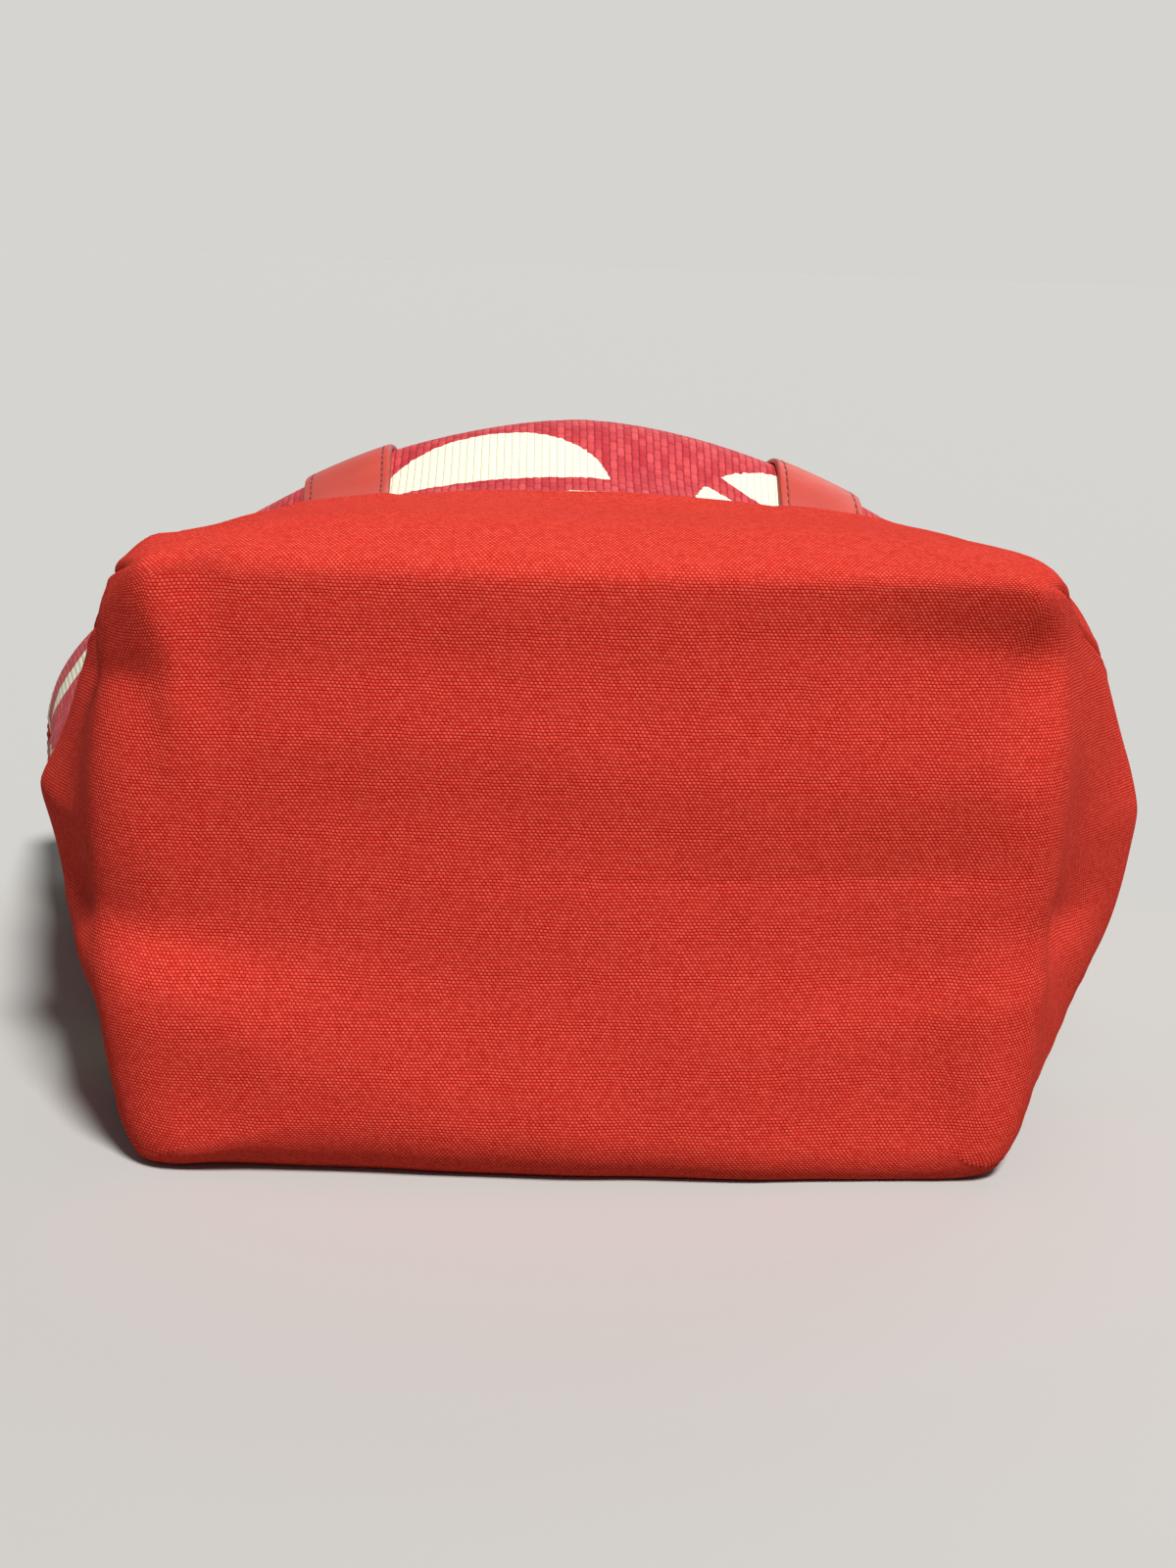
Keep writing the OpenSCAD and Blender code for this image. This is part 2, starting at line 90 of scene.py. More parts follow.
# How this bag slumps away from that even form: distance from the base, then what is added to
# the right and left half widths, the top and widest heights, and the four powers (upper
# right, upper left, lower right, lower left)
SLUMP = np.array([
    [0, -1, -1, 1.5, 0, 12, 6, 0, 0],
    [10, 0, 0, 1.6, 0, 4.5, -1, 0, 2],
    [30, 1.4, 2, 2, -0.7, 0.6, -2, -3, 4],
    [60, 5, -2, -1, -1.3, 0.2, -0.2, -3, 4],
    [90, 10.5, -8, -1.7, -2, -0.7, -0.3, -1.9, 0.7],
    [130, 5, -5, 1.7, -1, -0.3, -0.3, -0.5, -0.5],
    [185, 0, -2.5, 0, 0, 0, -0.1, 0, 0],
    [235, 0, 0, 0, 0, 0, 0, 0, 0],
    [300, 0, 0, 0, 0, 0, 0, 0, 0],
])

# Folds of the cup, seen from the base. Each is a line of points (x, z, how far it stands out,
# or in where negative), after how much its edge is rounded and the reach of its two flanks:
# above and below for a line to the right, right and left for a line down.
FOLDS = [
    # Hollow under the top edge, deep on the right, and the broad swell below it
    (10, 10, 41, [
        (-86, 151, -1.9), (-1, 157, -1.0), (57, 162, -2.1), (82, 162, -4.4), (110, 161, -8.2),
        (127, 158, -8.4), (143, 154, -2.4), (160, 150, 0),
    ]),
    (9, 35, 24, [
        (-99, 129, 1.2), (-41, 134, 2.3), (26, 126, 2.0), (88, 122, 1.7), (128, 123, 2.9),
    ]),
    # Hollow across the middle, the crease in it and the branch it sends down on the right
    (11.5, 26, 43, [
        (-104, 82, -2.9), (-44, 84, -0.9), (3, 87, -0.1), (57, 90, -2.6), (99, 92, -3.7),
        (121, 94, -1.9),
    ]),
    (0.6, 10, 4, [
        (-20, 92, 0), (12, 93, -0.3), (57, 94, -0.5), (96, 94.5, -0.7), (121, 95, -0.5),
    ]),
    (5, 9, 13, [(121, 96, -1.0), (132, 78, -3.2), (154, 71, -4.4), (170, 68, -3.0)]),
    # Ridge and hollow below that branch
    (11, 7, 40, [(82, 47, 1.8), (116, 52, 3.4), (135, 55, 4.0), (150, 57, 3.4)]),
    (14, 36, 45, [(51, 32, 0.9), (97, 37, -5.0), (125, 44, -4.2)]),
    # Valley on the left and the swell below it
    (7, 14, 9, [
        (-165, 73, -3.0), (-157, 74, -4.6), (-145, 76, -6.6), (-133, 76, -7.2), (-119, 73, -4.4),
        (-90, 69, -1.4), (-48, 69, 0),
    ]),
    (12, 24, 37, [
        (-152, 54, 5.6), (-142, 56, 6.2), (-128, 55, 6.2), (-104, 45, 4.4), (-70, 30, 4.6),
        (-10, 22, 4.2), (20, 18, 2.0),
    ]),
    # Ridge that hangs from the top left corner, the valley beside it and the dent left of it
    (2.7, 11, 14, [(-123, 181, 5.6), (-119, 164, 4.8), (-117, 146, 3.4), (-111, 128, 1.4)]),
    (6.5, 5, 9, [(-110, 177, -4.7), (-107, 150, -2.6), (-103, 127, -1.1)]),
    (2.2, 14, 14, [
        (-151, 139, -5.0), (-140, 144, -6.4), (-129, 147, -6.4), (-122, 149, -4.2),
        (-115, 149, -0.8),
    ]),
]
# The fold down the middle of each side, where the section comes to a blunt point: distance
# from the base, and how far the right and left sides stand out there
SIDE_POINT = np.array([
    [0, 0, 0], [30, 0.4, 1.5], [60, 2, 6.5], [80, 3.4, 9.6], [100, 2.6, 7.5],
    [135, 1, 3], [175, 0, 0], [300, 0, 0],
])
SIDE_POINT_HEIGHT, SIDE_POINT_EDGE = 96, 4.0
# How far the right and left sides of the base belly out between their corners, half the
# height of that, and the distance over which it fades
BELLY_RIGHT, BELLY_LEFT, BELLY_HALF, BELLY_FADE = 6, 9, 88, 55
# How far the left side is drawn in by the floor
DRAWN_IN = 8.5

waves = np.random.default_rng(11)


def smooth(t):
    """A smooth step from 0 to 1."""
    u = np.clip(t, 0, 1)
    return u * u * (3 - 2 * u)


def mix(a, b, t):
    return a + (b - a) * t


def bell(t):
    """1 at 0, falling to 0 on both sides."""
    return np.exp(-(t**2))


def cubic(table, x, column, slopes):
    """Cubic curve through one column of a table whose first column is x."""
    xs, ys = table[:, 0], table[:, column]
    i = np.clip(np.searchsorted(xs, x, side="right") - 1, 0, len(xs) - 2)
    width = xs[i + 1] - xs[i]
    t = np.clip((x - xs[i]) / width, 0, 1)
    lead, trail = slopes[i, column] * width, slopes[i + 1, column] * width
    start, end = ys[i], ys[i + 1]
    return (
        (2 * start - 2 * end + lead + trail) * t**3
        + (3 * end - 3 * start - 2 * lead - trail) * t**2
        + lead * t
        + start
    )


def even_slopes(table):
    """Slopes of all columns at each row, from the rows on either side."""
    rows = np.arange(len(table))
    before, after = np.maximum(rows - 1, 0), np.minimum(rows + 1, len(table) - 1)
    return (table[after] - table[before]) / (table[after, :1] - table[before, :1])


FORM_SLOPES, SLUMP_SLOPES = even_slopes(FORM), even_slopes(SLUMP)


def section(d, cosine, sine):
    """Half width, rise, widest height and power of the section, for the quarter asked for."""
    f = d / BODY_LENGTH
    half, top, waist, upper, lower = (cubic(FORM, f, k, FORM_SLOPES) for k in range(1, 6))
    slump = [cubic(SLUMP, d, k, SLUMP_SLOPES) for k in range(1, 9)]
    right, above = cosine >= 0, sine >= 0
    half = BASE_WIDTH / 2 * half + np.where(right, *slump[:2])
    top, waist = BASE_DEPTH * top + slump[2], BASE_DEPTH * waist + slump[3]
    upper, lower = upper + np.where(right, *slump[4:6]), lower + np.where(right, *slump[6:])
    rise = np.where(above, top - waist, waist + FLOOR_DIP)
    return half, rise, waist, np.where(above, upper, lower)


def wobble(d, turn):
    """Soft waves of the upper body, the same for every layer, none where it rests."""
    length = smooth((d - 84) / 40) * (1 - smooth((d - 225) / 30))
    side = smooth((np.sin(turn) + 0.15) / 0.5)
    wave = (
        1.5 * np.sin(d / 17 + 2.1 * np.cos(turn) + 0.6)
        + 1.1 * np.sin(d / 29 - 5.0 * np.cos(turn) + 1.9)
        + 0.8 * np.sin(d / 11 + 7.0 * np.cos(turn))
    )
    return 0.9 * length * side * wave


def side_point(d, x, z):
    """How far the fold down the middle of a side pushes the body out, with the base's belly."""
    left = x < 0
    gap = z - SIDE_POINT_HEIGHT
    size = np.where(left, *(np.interp(d, SIDE_POINT[:, 0], SIDE_POINT[:, k]) for k in (2, 1)))
    edge = np.hypot(gap, SIDE_POINT_EDGE) - SIDE_POINT_EDGE
    fold = size * np.exp(-edge / np.where(gap > 0, 15, 24))
    belly = np.where(left, BELLY_LEFT, BELLY_RIGHT) * np.maximum(1 - (gap / BELLY_HALF) ** 2, 0)
    belly = belly * (1 - smooth(d / BELLY_FADE))
    near_base = smooth((d - 8) / 26) * (1 - smooth((d - 85) / 40))
    drawn_in = DRAWN_IN * left * near_base * smooth((66 - z) / 26)
    return smooth((np.abs(x) - 90) / 40) * (fold + belly - drawn_in)


def skin(d, turn, out=0.0, inset=0.0):
    """Points of the body's outer surface at turn radians round it, moved out by a distance.

    An inset draws the whole section smaller first, which keeps its corners from crossing."""
    d, turn, out = np.broadcast_arrays(*(np.asarray(v, float) for v in (d, turn, out)))
    cosine, sine = np.cos(turn), np.sin(turn)
    half, rise, waist, power = section(d, cosine, sine)
    half, rise = half - inset, rise - inset
    reach = (np.abs(cosine) ** power + np.abs(sine) ** power) ** (-1 / power)
    x, z = half * reach * cosine, np.maximum(waist + rise * reach * sine, 0)
    nx = np.sign(x) * (np.abs(x) / half) ** (power - 1) / half
    nz = np.sign(z - waist) * (np.abs(z - waist) / rise) ** (power - 1) / rise
    size, grounded = np.hypot(nx, nz), z <= 0
    nx, nz = np.where(grounded, 0, nx / size), np.where(grounded, -1, nz / size)
    out = out + wobble(d, turn) + side_point(d, x, z)
    return np.stack([x + out * nx, d, z + out * nz], -1)


def turn_at(d, x):
    """The turn round the upper half of the section at a given x."""
    d, x = np.broadcast_arrays(np.asarray(d, float), np.asarray(x, float))
    half, rise, waist, power = section(d, x, np.ones_like(x))
    height = (1 - (np.abs(x) / half) ** power) ** (1 / power)
    return np.arctan2(height, x / half)


def layer(d, depth):
    """Depth of a layer, with its step inward under the binding."""
    return depth + MOUTH_STEP * smooth((d - STEP_START) / STEP_LENGTH)


def lift_to_floor(points, height=0):
    """Lifts points that lie below the floor, or below a height over it."""
    points[..., 2] = np.maximum(points[..., 2], height)


def place(points):
    """Millimetres from the base plane to metres in the frame."""
    return (np.asarray(points, float) - [0, TOTAL_LENGTH / 2, 0]) / 1000


# ---- Mesh building ----
CORNERS = ((0, 0), (0, 1), (1, 1), (1, 0))


def grid(points, uv, layouts=None, close=False):
    """Points, faces and corner UVs of a grid; a closed one joins its last column to its first.

    With layouts, the UVs are several tables and each column says which one it takes."""
    rows, cols = points.shape[:2]
    i, j = np.meshgrid(
        np.arange(rows - 1), np.arange(cols if close else cols - 1), indexing="ij"
    )
    faces = np.stack([(i + a) * cols + (j + b) % cols for a, b in CORNERS], -1)
    layout = () if layouts is None else (layouts[j],)
    corner_uv = np.stack([uv[(*layout, i + a, j + b)] for a, b in CORNERS], -2)
    return points.reshape(-1, 3), faces.reshape(-1, 4).tolist(), corner_uv.reshape(-1, 2)


def join(parts):
    """Several (points, faces, corner UVs) as one."""
    points, faces, uvs, base = [], [], [], 0
    for p, f, u in parts:
        points.append(p)
        faces += [[base + v for v in face] for face in f]
        uvs.append(u)
        base += len(p)
    return np.concatenate(points), faces, np.concatenate(uvs)


def show(name, data):
    """A new object in the scene."""
    made = bpy.data.objects.new(name, data)
    bpy.context.scene.collection.objects.link(made)
    return made


def piece(name, part, material, replaces=(), body="bag", inward=False):
    """A mesh object from (points, faces, corner UVs) in millimetres, facing out or inward."""
    points, faces, uvs = part
    mesh = bpy.data.meshes.new(name)
    mesh.from_pydata(place(points).tolist(), [], faces)
    mesh.uv_layers.new(name="UVMap").data.foreach_set("uv", (uvs / 1000).ravel())
    mesh.polygons.foreach_set("use_smooth", [True] * len(faces))
    mesh.update()
    polygons = mesh.polygons
    normals, centres, areas = (
        np.array([getattr(p, kind) for p in polygons]) for kind in ("normal", "center", "area")
    )
    outward = ((centres - centres.mean(0)) * normals).sum(1) @ areas
    if (outward < 0) != inward:
        mesh.flip_normals()
    mesh.materials.append(material)
    made = show(name, mesh)
    if body:
        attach(made, body)
    if replaces:
        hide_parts(*replaces)
    return made


def unit(vectors):
    """The same vectors, one long."""
    return vectors / np.maximum(np.linalg.norm(vectors, axis=-1, keepdims=True), 1e-9)


def wrap(points):
    """A closed grid with its first column again after its last."""
    return np.concatenate([points, points[:, :1]], 1)


def arc_lengths(points, axis):
    """Running length along one axis of a grid of points, from its first row or column."""
    steps = np.linalg.norm(np.diff(points, axis=axis), axis=-1)
    pad = [(0, 0)] * (points.ndim - 1)
    pad[axis] = (1, 0)
    return np.cumsum(np.pad(steps, pad), axis=axis)


def lengths(points):
    """UVs of a grid: its running lengths round and along."""
    return np.stack([arc_lengths(points, 1), arc_lengths(points, 0)], -1)


# A stitch is a bead of two rings of four points between two tips, ten points in all
STITCH_PITCH, STITCH_LENGTH, STITCH_RADIUS = 3.6, 2.7, 0.27
STITCH_RING = [(1, 0), (0, 0.8), (-1, 0), (0, -0.8)]
STITCH_FACES = [
    corners
    for k, n in ((0, 1), (1, 2), (2, 3), (3, 0))
    for corners in ([0, 1 + n, 1 + k], [1 + k, 1 + n, 5 + n, 5 + k], [9, 5 + k, 5 + n])
]


def stitches(lines):
    """Rows of stitches, each a small tapered bead, along lines of points and their normals."""
    parts = []
    for path, normals in lines:
        run = arc_lengths(path, 0)
        starts = np.arange(STITCH_PITCH / 2, run[-1] - STITCH_LENGTH, STITCH_PITCH)

        def at(s, table):
            return np.stack([np.interp(s, run, table[:, k]) for k in range(3)], -1)

        first, last = at(starts, path), at(starts + STITCH_LENGTH, path)
        up, ahead = unit(at(starts, normals)), last - first
        side = unit(np.cross(ahead, up))
        rings = [
            first + t * ahead + STITCH_RADIUS * (a * side + b * up) + 0.1 * up
            for t in (0.22, 0.78)
            for a, b in STITCH_RING
        ]
        beads = np.stack([first - 0.2 * up, *rings, last - 0.2 * up], 1)
        base = beads.shape[1] * np.arange(len(starts))[:, None]
        points = beads.reshape(-1, 3)
        faces = [face for corners in STITCH_FACES for face in (base + corners).tolist()]
        parts.append((points, faces, np.concatenate([points[face][:, :2] for face in faces])))
    return join(parts)


# ---- Materials ----
def linear(r, g, b):
    """A display colour from 0 to 255 as the linear values that Blender takes."""
    scaled = [v / 255 for v in (r, g, b)]
    return [v / 12.92 if v <= 0.04045 else ((v + 0.055) / 1.055) ** 2.4 for v in scaled] + [1]


def operator(kind, swapped=False):
    """A method that adds a maths node for a value and another value or a number."""

    def apply(self, other):
        return self.surface.maths(kind, *((other, self) if swapped else (self, other)))

    return apply


class Value:
    """An output in a material's node tree that can be calculated with."""

    def __init__(self, surface, socket):
        self.surface, self.socket = surface, socket

    def __abs__(self):
        return self.surface.maths("ABSOLUTE", self)

    __add__, __mul__, __truediv__ = operator("ADD"), operator("MULTIPLY"), operator("DIVIDE")
    __sub__, __rsub__ = operator("SUBTRACT"), operator("SUBTRACT", swapped=True)
    __mod__, __pow__ = operator("MODULO"), operator("POWER")
    __lt__, __gt__ = operator("LESS_THAN"), operator("GREATER_THAN")


class Tree:
    """A node tree, with short ways to add maths, noise and mixing."""

    def __init__(self, owner):
        owner.use_nodes = True
        self.tree = owner.node_tree

    def link(self, value, socket):
        if isinstance(value, Value):
            self.tree.links.new(value.socket, socket)
        else:
            socket.default_value = value

    def node(self, kind, inputs=(), outputs=(0,), **settings):
        """The named outputs of a new node."""
        made = self.tree.nodes.new(kind)
        for name, value in settings.items():
            setattr(made, name, value)
        for name, value in dict(inputs).items():
            self.link(value, made.inputs[name])
        values = [Value(self, made.outputs[name]) for name in outputs]
        return values if len(values) > 1 else values[0]

    def maths(self, operation, *values):
        return self.node("ShaderNodeMath", enumerate(values), operation=operation)

    def uv(self):
        """The two surface coordinates in metres."""
        both = self.node("ShaderNodeUVMap", uv_map="UVMap")
        return self.node("ShaderNodeSeparateXYZ", {0: both}, (0, 1))

    def in_object(self):
        """The place in the object's own axes."""
        return self.node("ShaderNodeTexCoord", (), ["Object"])

    def vector(self, x, y):
        return self.node("ShaderNodeCombineXYZ", {0: x, 1: y})

    def noise(self, vector, scale, detail=2.0, roughness=0.5):
        inputs = {"Vector": vector, "Scale": scale, "Detail": detail, "Roughness": roughness}
        return self.node("ShaderNodeTexNoise", inputs, ["Fac"])

    def blend(self, share, a, b, kind="MIX"):
        inputs = {0: share, 6: a, 7: b}
        return self.node("ShaderNodeMix", inputs, [2], data_type="RGBA", blend_type=kind)

    def range(self, value, low, high, to_low=0.0, to_high=1.0):
        """A smooth step from to_low to to_high while the value goes from low to high."""
        inputs = enumerate((value, low, high, to_low, to_high))
        return self.node("ShaderNodeMapRange", inputs, interpolation_type="SMOOTHSTEP")


class Surface(Tree):
    """A material, by the inputs of its shader."""

    def __init__(self, name, roughness, specular=0.3, sheen=0.0, metallic=0.0, coat=0.0):
        self.material = bpy.data.materials.new(name)
        super().__init__(self.material)
        self.set(roughness, "Roughness")
        self.set(specular, "Specular IOR Level")
        self.set(sheen, "Sheen Weight")
        self.set(metallic, "Metallic")
        self.set(coat, "Coat Weight")

    def set(self, value, name):
        self.link(value, self.tree.nodes["Principled BSDF"].inputs[name])

    def dress(self, colour, height, distance, strength):
        """The material, with its colour and its fine relief."""
        inputs = {"Height": height, "Distance": distance, "Strength": strength}
        self.set(colour, "Base Color")
        self.set(self.node("ShaderNodeBump", inputs), "Normal")
        return self.material


def oval(s, u_gap, v_gap, width, height):
    """1 in the middle of an oval, falling to 0 at its outline."""
    fall = (u_gap / width) ** 2.0 + (v_gap / height) ** 2.0
    return s.maths("MAXIMUM", 1.0 - fall, 0.0)


def plain_weave(s, warp, weft):
    """Plain weave in staggered rows: how high the beads stand and how deep the pits between
    them are, from 0 to 1, two random values for each bead, and the number of its row."""
    u, v = s.uv()
    drift = s.noise(s.vector(u, v), 90, 3.0)
    along = v / weft + drift * 1.3
    row = s.maths("ROUND", along)
    shifted = u / warp + drift * 1.4 + row
    bead = s.maths("ROUND", shifted * 0.5)
    v_gap = along - row
    slanted = abs(v_gap * 0.4 + (shifted - bead * 2.0))
    crown = oval(s, slanted, v_gap, 0.9, 0.48)
    pit = oval(s, 1.0 - slanted, v_gap, 0.48, 0.4)
    furrow = s.range(abs(v_gap), 0.22, 0.46, 0.0, 0.7)
    pit = s.maths("MAXIMUM", pit, furrow)
    number = {"Vector": s.vector(bead, row)}
    chance, colour = s.node("ShaderNodeTexWhiteNoise", number, ("Value", "Color"))
    other = s.node("ShaderNodeSeparateColor", {0: colour}, [1])
    return crown, pit, chance, other, row


def cloth(name, colour, gap, top, warp, weft, depth, mottle=0.07):
    """Plain-woven cloth with painted shade in its pits, painted highlights on its bead tops, uneven
    yarns and slight soiling.
    """
    s = Surface(name, 0.92, specular=0.03)
    crown, pit, chance, other, row = plain_weave(s, warp, weft)
    u, v = s.uv()
    slub = s.noise(s.vector(u * 60, row * 0.73), 1.0)
    patch = s.noise(s.vector(u, v), 22, 3.0)
    # Painted shade: the pits are darkened towards the gap colour. Painted highlight: the bead crowns
    # are lightened towards the top colour.
    pit_shade = s.range(pit, 0.0, 0.8) * (other * 0.5 + 0.5)
    lit = s.range(crown, 0.1, 0.9) * (chance * 0.8 + 0.2)
    body = s.blend(lit, s.blend(pit_shade, linear(*colour), linear(*gap)), linear(*top))
    light = (slub * 2 + patch + chance) * mottle + (1 - 2 * mottle)
    grey = s.node("ShaderNodeCombineColor", {0: light, 1: light, 2: light})
    colour = s.blend(1.0, body, grey, "MULTIPLY")
    return s.dress(colour, crown - pit + (slub + chance) * 0.2, depth, 0.8)


RIB_PITCH, RIB_CROSS = 0.0024, 0.0052
MOTIF_WIDTH, MOTIF_HEIGHT, MOTIF_RADIUS = 0.104, 0.086, 0.37


def print_mask(s, u, v):
    """A repeating print of half discs over quarter rings, each row shifted by half a step."""
    up = (v + 0.012) / MOTIF_HEIGHT
    row = s.maths("FLOOR", up)
    step = (u + 0.021) / MOTIF_WIDTH + row * 0.5
    x, y = s.maths("FRACT", step) - 0.5, s.maths("FRACT", up) - 0.5
    ragged = s.noise(s.vector(u, v), 500, 1.0) * 0.02 - 0.01
    swing = s.maths("SINE", s.maths("FLOOR", step) * 2.4 + row)
    turned = y + x * swing + ragged
    radius = s.maths("SQRT", x**2.0 + y**2.0) + ragged
    disc = radius < MOTIF_RADIUS
    arc = disc * (radius > 0.24) * (turned < -0.06)
    return s.maths("MAXIMUM", disc * (turned > 0.05), arc)


def ribbed_weave():
    """Flat straw-look ribs with short crosswise bumps, printed in cream, with painted shade in the
    grooves and painted glints on the fibres.
    """
    s = Surface("straw_weave", 0.6, specular=0.2)
    u, v = s.uv()
    rib = u / RIB_PITCH
    column = s.maths("FLOOR", rib)
    cross = v / RIB_CROSS + column % 2.0 * 0.5
    flank, bump = (abs(s.maths("SINE", way * pi)) for way in (rib, cross))
    height = flank**0.4 * (bump**0.4 * 0.7 + 0.3)
    strand = s.noise(s.vector(column * 3.1, v * 90), 1.0)
    fibre = s.noise(s.vector(u * 9000, v * 500), 1.0)
    number = {"Vector": s.vector(column, s.maths("FLOOR", cross))}
    tone = (s.node("ShaderNodeTexWhiteNoise", number, ["Value"]) - 0.5) * 0.14 + strand
    pink = s.blend(s.range(tone, 0.3, 0.7), linear(186, 44, 54), linear(216, 78, 80))
    # Light pink specks where the fine fibre noise is high: painted glints
    pink = s.blend(s.range(fibre, 0.62, 0.8, 0.0, 0.5), pink, linear(240, 130, 140))
    # The pink is darkened towards violet where the ribs and their cross bumps are low: painted shade
    # in the grooves
    shade = s.blend(s.range(height, 0.15, 0.75), linear(146, 26, 40), pink)
    # The cream print is also darker where the weave is low: painted shade in the grooves
    cream = s.blend(s.range(height, 0.1, 0.6), linear(222, 217, 186), linear(244, 242, 216))
    colour = s.blend(print_mask(s, u, v), shade, cream)
    return s.dress(colour, height + fibre * 0.12, 0.0004, 0.9)


def strap_leather():
    """Smooth coated strap with a fine grain, cross creases and a darker painted edge."""
    s = Surface("strap_leather", 0.48, specular=0.42, coat=0.08)
    u, v = s.uv()
    surface = s.vector(u, v)
    voronoi = {"Vector": surface, "Scale": 1500.0}
    grain = s.node("ShaderNodeTexVoronoi", voronoi, ["Distance"])
    crease = s.noise(s.vector(u * 18, v * 90), 1.0, 3.0)
    patch = s.noise(surface, 30, 3.0)
    # The section starts at one edge and reaches the other after a width and a thickness
    across = (STRAP_WIDTH + STRAP_THICKNESS) / 1000
    edge = s.maths("PINGPONG", u, across)
    near = s.maths("MINIMUM", edge, across - edge)
    painted = s.range(near, 0.0007, 0.0012, 1.0, 0.0)
    seam = s.range(abs(near - 0.0035), 0.0, 0.0006, 1.0, 0.0)
    red = s.blend(s.range(patch, 0.3, 0.7), linear(184, 56, 42), linear(200, 66, 50))
    red = s.blend(seam * 0.45, red, linear(130, 30, 24))
    s.set(s.range(crease, 0.3, 0.7, 0.42, 0.56), "Roughness")
    colour = s.blend(painted, red, linear(142, 36, 28))
    return s.dress(colour, grain * 0.35 + crease * 0.9, 0.00025, 0.7)


def thread(name, colour):
    """Twisted sewing thread, the grooves of its twist darkened in colour as painted shade."""
    s = Surface(name, 0.6, sheen=0.3)
    wave = {"Vector": s.in_object(), "Scale": 900.0, "Distortion": 1.5}
    twist = s.node("ShaderNodeTexWave", wave, ["Fac"])
    light = linear(*colour)
    # The twist's grooves are darkened to 0.6 of the thread colour: painted shade
    colour = s.blend(twist, [0.6 * v for v in light[:3]] + [1], light)
    return s.dress(colour, twist, 0.0001, 0.5)


def satin_metal():
    """Plated steel with a turned, slightly worn face."""
    s = Surface("satin_nickel", 0.3, metallic=1.0)
    ring = s.noise(s.node("ShaderNodeMapping", {0: s.in_object(), 3: (40, 40, 1500)}), 1.0)
    s.set(s.range(ring, 0.3, 0.7, 0.24, 0.38), "Roughness")
    colour = s.blend(ring, linear(196, 196, 200), linear(222, 222, 226))
    return s.dress(colour, ring, 0.00005, 0.3)


def fibre_board():
    """Pressed fibre board, flecked."""
    s = Surface("fibre_board", 0.9)
    fleck = s.noise(s.in_object(), 400, 4.0, 0.7)
    colour = s.blend(s.range(fleck, 0.35, 0.65), linear(120, 116, 108), linear(160, 156, 146))
    return s.dress(colour, fleck, 0.0002, 0.4)


# Each cloth: its yarn colour, a darker gap colour painted in its pits as shade, and a lighter top
# colour painted on its bead crowns as highlight
canvas_cloth = cloth(
    "red_duck", (229, 65, 50), (170, 12, 4), (236, 100, 86), 0.0006, 0.00095, 0.00013
)
trim_cloth = cloth(
    "red_trim_duck", (214, 60, 47), (140, 22, 18), (236, 94, 80), 0.0005, 0.0006, 0.0002
)
lining_cloth = cloth(
    "cotton_lining", (222, 210, 186), (172, 158, 134), (236, 226, 206), 0.0003, 0.00034, 0.0001, 0.04
)
tape_cloth = cloth(
    "seam_tape", (190, 54, 44), (116, 24, 20), (210, 76, 64), 0.0006, 0.0006, 0.0002
)
woven = ribbed_weave()
leather = strap_leather()
red_thread = thread("dark_red_thread", (128, 26, 24))
cream_thread = thread("cream_thread", (224, 212, 188))
nickel = satin_metal()
board = fibre_board()

# ---- Columns round the body ----
SIDE_COLUMNS, FACE_COLUMNS, CROWDING = 42, 46, 1.45
QUARTER = SIDE_COLUMNS + FACE_COLUMNS
SEAMS = [k * QUARTER + way * SIDE_COLUMNS for k, way in ((0, 1), (2, -1), (2, 1), (4, -1))]
SEAM_LEAN = 0.62
CORNER = pi / 4


def quarter_turns():
    """Turns from the middle of a side to the middle of a face, closest together at the corner."""
    side = CORNER * (1 - (1 - np.arange(SIDE_COLUMNS) / SIDE_COLUMNS) ** CROWDING)
    face = CORNER * (1 + (np.arange(FACE_COLUMNS) / FACE_COLUMNS) ** CROWDING)
    return np.concatenate([side, face])


def full_turns():
    """Turns of all columns round the body, from the middle of its right side."""
    first = quarter_turns()
    second = pi - np.concatenate([[pi / 2], first[:0:-1]])
    half = np.concatenate([first, second])
    return np.concatenate([half, half + pi])


TURNS = full_turns()


def lean(turn, d):
    """Moves the columns so that the corner seams lean to the sides as they climb."""
    centre = np.floor(turn / pi + 0.5) * pi
    local = np.abs(turn - centre)
    seam = CORNER * mix(1, SEAM_LEAN, np.clip(d / CUP_HEIGHT, 0, 1))
    moved = np.where(
        local < CORNER,
        local * seam / CORNER,
        seam + (local - CORNER) * (pi / 2 - seam) / (pi / 2 - CORNER),
    )
    return centre + np.sign(turn - centre) * moved


# ---- Canvas cup ----
def rounded(line, steps=4):
    """The points of a smooth curve through the points of a line."""
    table = np.array([(k, *point) for k, point in enumerate(line)], float)
    slopes = even_slopes(table)
    at = np.linspace(0, len(line) - 1, steps * (len(line) - 1) + 1)
    return np.stack([cubic(table, at, k, slopes) for k in (1, 2, 3)], -1)


CURVED_FOLDS = [(*flanks, rounded(line)) for *flanks, line in FOLDS]


